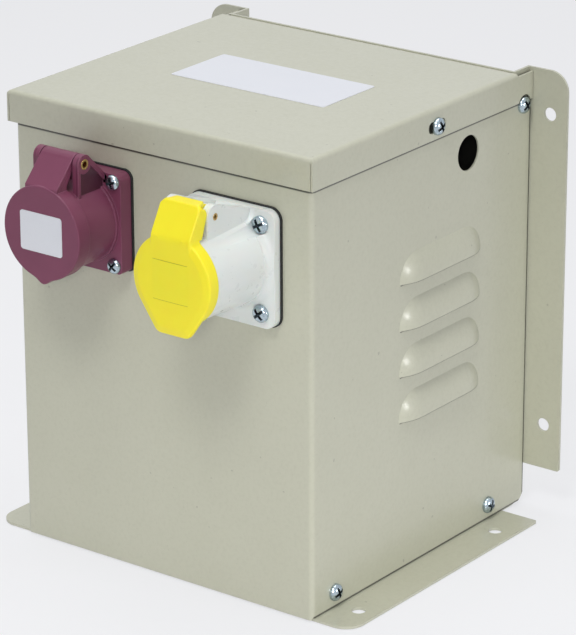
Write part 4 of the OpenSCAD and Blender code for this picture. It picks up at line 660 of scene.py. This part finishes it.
def refine(node, body, slot, width, material=None, more=None):
    """Copy of a CAD node with clean faces and really rounded edges. more(bm) adds to it."""
    src = nodes[node]
    bm = bmesh.new()
    bm.from_mesh(src.data)
    bm.transform(src.matrix_world)
    bmesh.ops.remove_doubles(bm, verts=bm.verts, dist=WELD)
    bmesh.ops.dissolve_limit(bm, angle_limit=math.radians(FLAT_ANGLE), verts=bm.verts, edges=bm.edges)
    if more:
        more(bm)
    obj = finish_mesh(node + "_fine", bm, material or SLOT_MATERIALS[slot], body, (node,),
                      REFINE_ANGLE, False)
    mod = obj.modifiers.new("edge", "BEVEL")
    mod.width = width * MM
    mod.segments = REFINE_SEGMENTS
    mod.limit_method = "ANGLE"
    mod.angle_limit = math.radians(REFINE_ANGLE)
    mod.harden_normals = True
    mod.use_clamp_overlap = True


def outlet_110v_thick_ear(bm):
    """Outer layer of the left ear, which is thicker than the right one."""
    low, high = node_box("outlet_110v_hinge_pin")
    out, up = A110.front - (low[1] + high[1]) / 2 / MM, (low[2] + high[2]) / 2 / MM - A110.z
    plan = [(out + EAR_110V_R * math.cos(math.radians(a)), up + EAR_110V_R * math.sin(math.radians(a)))
            for a in range(0, 111, 10)]
    plan += [(EAR_110V_ROOT, EAR_110V_HIGH), (EAR_110V_ROOT, EAR_110V_LOW), (out + EAR_110V_R, EAR_110V_LOW)]
    prism(bm, A110, plan, -EAR_110V_OUTER - EAR_110V_MORE, -EAR_110V_OUTER + 0.5, 0.0)


# Boxes of painted shade on the floors of the purple housing's ear pockets
shaded_boxes = [tuple(A24.p(x, up, out) for x, up, out in zip(ends, RECESS_24V_UP, RECESS_24V_OUT))
            for ends in ((-RECESS_24V_X, -RECESS_24V_X + RECESS_24V_DEEP),
                         (RECESS_24V_X - RECESS_24V_DEEP, RECESS_24V_X))]
HOUSING = moulded("purple_housing", shaded_boxes=shaded_boxes, **PURPLE_LOOK)
refine("outlet_24v_housing", "case", "purple_plastic", 0.6, material=HOUSING)
refine("outlet_110v_housing", "case", "white_plastic", 0.7, more=outlet_110v_thick_ear)


# Screws
CROSS_HALF_W, CROSS_HALF_L = 0.072, 0.31  # shares of the head's diameter


def cross_head(d, head_d, head_h, length, name):
    """Pan head screw with a tapered cross recess, in mm, seated on z = 0 with its thread below."""
    r = head_d / 2
    profile = [(d / 2 - 0.3, -length), (d / 2, -length + 0.3), (d / 2, -0.05), (r - 0.12, 0.0), (r, 0.12),
               (r, head_h * 0.28), (r * 0.975, head_h * 0.44), (r * 0.88, head_h * 0.66),
               (r * 0.72, head_h * 0.83), (r * 0.5, head_h * 0.95), (r * 0.25, head_h * 0.99)]
    angles = [2 * math.pi * k / ROUND_STEPS for k in range(ROUND_STEPS)]
    bm = bmesh.new()
    bridge_loops(bm, [[(q * math.cos(a), q * math.sin(a), z) for a in angles] for q, z in profile])
    bmesh.ops.recalc_face_normals(bm, faces=bm.faces)
    obj = mesh_object(name, bm)
    half_w, half_l = CROSS_HALF_W * head_d, CROSS_HALF_L * head_d
    tools = []
    for turn in (0, 90):
        c, sn = math.cos(math.radians(turn)), math.sin(math.radians(turn))
        loops = []
        for z, w, l in ((head_h * 0.34, half_w * 0.6, half_l * 0.42),
                        (head_h * 0.6, half_w * 0.85, half_l * 0.7),
                        (head_h * 1.1, half_w * 1.2, half_l * 1.02)):
            ring = [(l, -w), (l, w), (-l, w), (-l, -w)]
            loops.append([(x * c - y * sn, x * sn + y * c, z) for x, y in ring])
        bm = bmesh.new()
        bridge_loops(bm, loops)
        bmesh.ops.recalc_face_normals(bm, faces=bm.faces)
        tools.append(mesh_object("tool", bm))
        mod = obj.modifiers.new("recess", "BOOLEAN")
        mod.operation = "DIFFERENCE"
        mod.solver = "EXACT"
        mod.object = tools[-1]
    result = bpy.data.meshes.new_from_object(evaluated(obj))
    for o in tools + [obj]:
        remove_object(o)
    # The faces inside the cross recess take the second material, painted shade
    for face in result.polygons:
        x, y = sorted((abs(face.center.x), abs(face.center.y)))
        if x < half_w * 1.25 and y < half_l * 1.06 and face.center.z > head_h * 0.3:
            face.material_index = 1
    return result


def screw_group(name, head, places, node):
    """One piece of several screws: each place is (position in mm, outward axis, turn in degrees)."""
    bm = bmesh.new()
    for pos, axis, turn in places:
        part = bmesh.new()
        part.from_mesh(head)
        aim = Vector(axis).to_track_quat("Z", "Y").to_matrix().to_4x4()
        turned = aim @ Matrix.Rotation(math.radians(turn), 4, "Z")
        bmesh.ops.transform(part, matrix=Matrix.Translation(Vector(pos) * MM) @ turned @ Matrix.Scale(MM, 4),
                            verts=part.verts)
        add_mesh(bm, part)
    group = finish_mesh(name, bm, SCREW, "case", (node,), 32)
    # The second material is the painted shade in the cross recesses
    group.data.materials.append(SCREW_RECESS_SHADE)


RIGHT, LEFT, FORWARD = (1, 0, 0), (-1, 0, 0), (0, -1, 0)
SIDE, LIP_RIGHT, LIP_LEFT = 103.0, 1.5, 4.5
M5_HEAD = cross_head(5.0, 10.0, 3.7, 11.0, "m5_head")
side_places = []
for y, z, right_turn, left_turn in ((-71.9, 10.8, 20, 50), (78.5, 10.8, 68, 12), (107.6, 247.5, 35, 77)):
    side_places.append(((SIDE, y, z), RIGHT, right_turn))
    side_places.append(((-SIDE, y, z), LEFT, left_turn))
screw_group("side_screws", M5_HEAD, side_places, "cover_screws")
M5_SHORT = cross_head(5.0, 10.0, 3.7, 9.0, "m5_short")
screw_group("lid_fixing_screws", M5_SHORT, [((SIDE + LIP_RIGHT, 20.5, 257.2), RIGHT, 24),
                                            ((-SIDE - LIP_LEFT, 20.5, 257.2), LEFT, 61)], "lid_screws")
M4_HEAD = cross_head(4.0, 8.8, 3.0, 15.0, "m4_head")
M5_FLANGE = cross_head(5.0, 10.0, 3.4, 11.9, "m5_flange")


def flange_places(outlet, x, u, o, turns):
    """Places of the four screws of an outlet's flange, from the upper left one round to the right."""
    corners = ((-x, u), (x, u), (x, -u), (-x, -u))
    return [(outlet.p(*corner, o) / MM, FORWARD, turn) for corner, turn in zip(corners, turns)]


screw_group("outlet_24v_screws", M4_HEAD, flange_places(A24, 22.0, 24.15, 10.5, (33, 17, 52, 74)),
            "outlet_24v_flange_screws")
screw_group("outlet_110v_screws", M5_FLANGE, flange_places(A110, 20.9, 25.2, 6.3, (8, 28, 41, 63)),
            "outlet_110v_flange_screws")


# Stage and light. The backdrop's glow and the world are brighter where they are seen than where they
# light the part
FLOOR_SIZE, FLOOR_PLACE, FLOOR_GLOW = 16, (0, 3.0, -0.0006), 0.72
SPOT_SOFT = 0.25
WORLD_LIGHT, WORLD_SEEN = 0.18, 0.8


def seen_ray(tree):
    """1 for the rays that show the backdrop: camera, glossy and transmission."""
    path = tree.nodes.new("ShaderNodeLightPath")
    seen = path.outputs["Is Camera Ray"]
    for kind in ("Is Glossy Ray", "Is Transmission Ray"):
        either = tree.nodes.new("ShaderNodeMath")
        either.operation = "MAXIMUM"
        tree.links.new(seen, either.inputs[0])
        tree.links.new(path.outputs[kind], either.inputs[1])
        seen = either.outputs[0]
    return seen


def stage():
    bpy.ops.mesh.primitive_plane_add(size=FLOOR_SIZE, location=FLOOR_PLACE)
    floor = bpy.context.object
    floor.name = "floor"
    m = bpy.data.materials.new("floor")
    m.use_nodes = True
    t, n = m.node_tree, m.node_tree.nodes
    n.remove(n["Principled BSDF"])
    diffuse = n.new("ShaderNodeBsdfDiffuse")
    diffuse.inputs["Color"].default_value = (0.86, 0.86, 0.87, 1)
    glow = n.new("ShaderNodeEmission")
    glow.inputs["Color"].default_value = (0.9, 0.905, 0.93, 1)
    glow.inputs["Strength"].default_value = 1.0
    glow_share = n.new("ShaderNodeMapRange")
    glow_share.inputs["To Max"].default_value = FLOOR_GLOW
    mix = n.new("ShaderNodeMixShader")
    t.links.new(seen_ray(t), glow_share.inputs["Value"])
    t.links.new(glow_share.outputs[0], mix.inputs[0])
    t.links.new(diffuse.outputs[0], mix.inputs[1])
    t.links.new(glow.outputs[0], mix.inputs[2])
    t.links.new(mix.outputs[0], n["Material Output"].inputs["Surface"])
    floor.data.materials.append(m)

    world = scene.world or bpy.data.worlds.new("world")
    scene.world = world
    world.use_nodes = True
    t = world.node_tree
    bg = t.nodes["Background"]
    bg.inputs["Color"].default_value = (0.93, 0.95, 1.0, 1)
    strength = t.nodes.new("ShaderNodeMapRange")
    strength.inputs["To Min"].default_value = WORLD_LIGHT
    strength.inputs["To Max"].default_value = WORLD_SEEN
    t.links.new(seen_ray(t), strength.inputs["Value"])
    t.links.new(strength.outputs[0], bg.inputs["Strength"])


def place_light(name, data, location, target):
    obj = bpy.data.objects.new(name, data)
    scene.collection.objects.link(obj)
    obj.location = location
    obj.rotation_euler = (Vector(target) - Vector(location)).to_track_quat("-Z", "Y").to_euler()


def lamp(name, location, target, size, power):
    """Square area lamp."""
    data = bpy.data.lights.new(name, "AREA")
    data.shape = "RECTANGLE"
    data.size, data.size_y = size, size
    data.energy = power
    place_light(name, data, location, target)


def spot(name, location, target, angle, power):
    """Soft round pool of light."""
    data = bpy.data.lights.new(name, "SPOT")
    data.spot_size = math.radians(angle)
    data.spot_blend = 1.0
    data.shadow_soft_size = SPOT_SOFT
    data.energy = power
    place_light(name, data, location, target)


# The camera fitted to the photo: angles in degrees, roll in radians, distances in metres
FOCAL_PX, LONG_SIDE_PX, SENSOR_MM = 3616.83, 635, 36
AZIMUTH, ELEVATION, ROLL, DISTANCE = 37.064, 20.59, -0.00348, 2.06933
TARGET = Vector((11.376, 7.5, 128.356)) * MM


def camera():
    data = bpy.data.cameras.new("camera")
    data.sensor_fit = "AUTO"
    data.sensor_width = SENSOR_MM
    data.lens = FOCAL_PX / LONG_SIDE_PX * SENSOR_MM
    data.clip_start = 0.05
    data.clip_end = 60
    obj = bpy.data.objects.new("camera", data)
    scene.collection.objects.link(obj)
    az, el = math.radians(AZIMUTH), math.radians(ELEVATION)
    back = Vector((math.sin(az) * math.cos(el), -math.cos(az) * math.cos(el), math.sin(el)))
    aim = (-back).to_track_quat("-Z", "Y").to_matrix().to_4x4()
    obj.matrix_world = Matrix.Translation(TARGET + back * DISTANCE) @ aim @ Matrix.Rotation(ROLL, 4, "Z")
    scene.camera = obj


stage()
lamp("side", (2.45, 0.3, 0.45), (0, 0, 0.1), 0.4, 10.5)
lamp("top", (-0.2, 0.2, 2.4), (0, 0, 0.1), 1.8, 31)
lamp("front", (0.5, -1.4, 2.0), (0, 0, 0.1), 0.6, 15.5)
spot("low", (1.2, -1.7, 0.8), (0.07, -0.1, -0.04), 23, 78)
camera()
scene.view_settings.view_transform = "Standard"
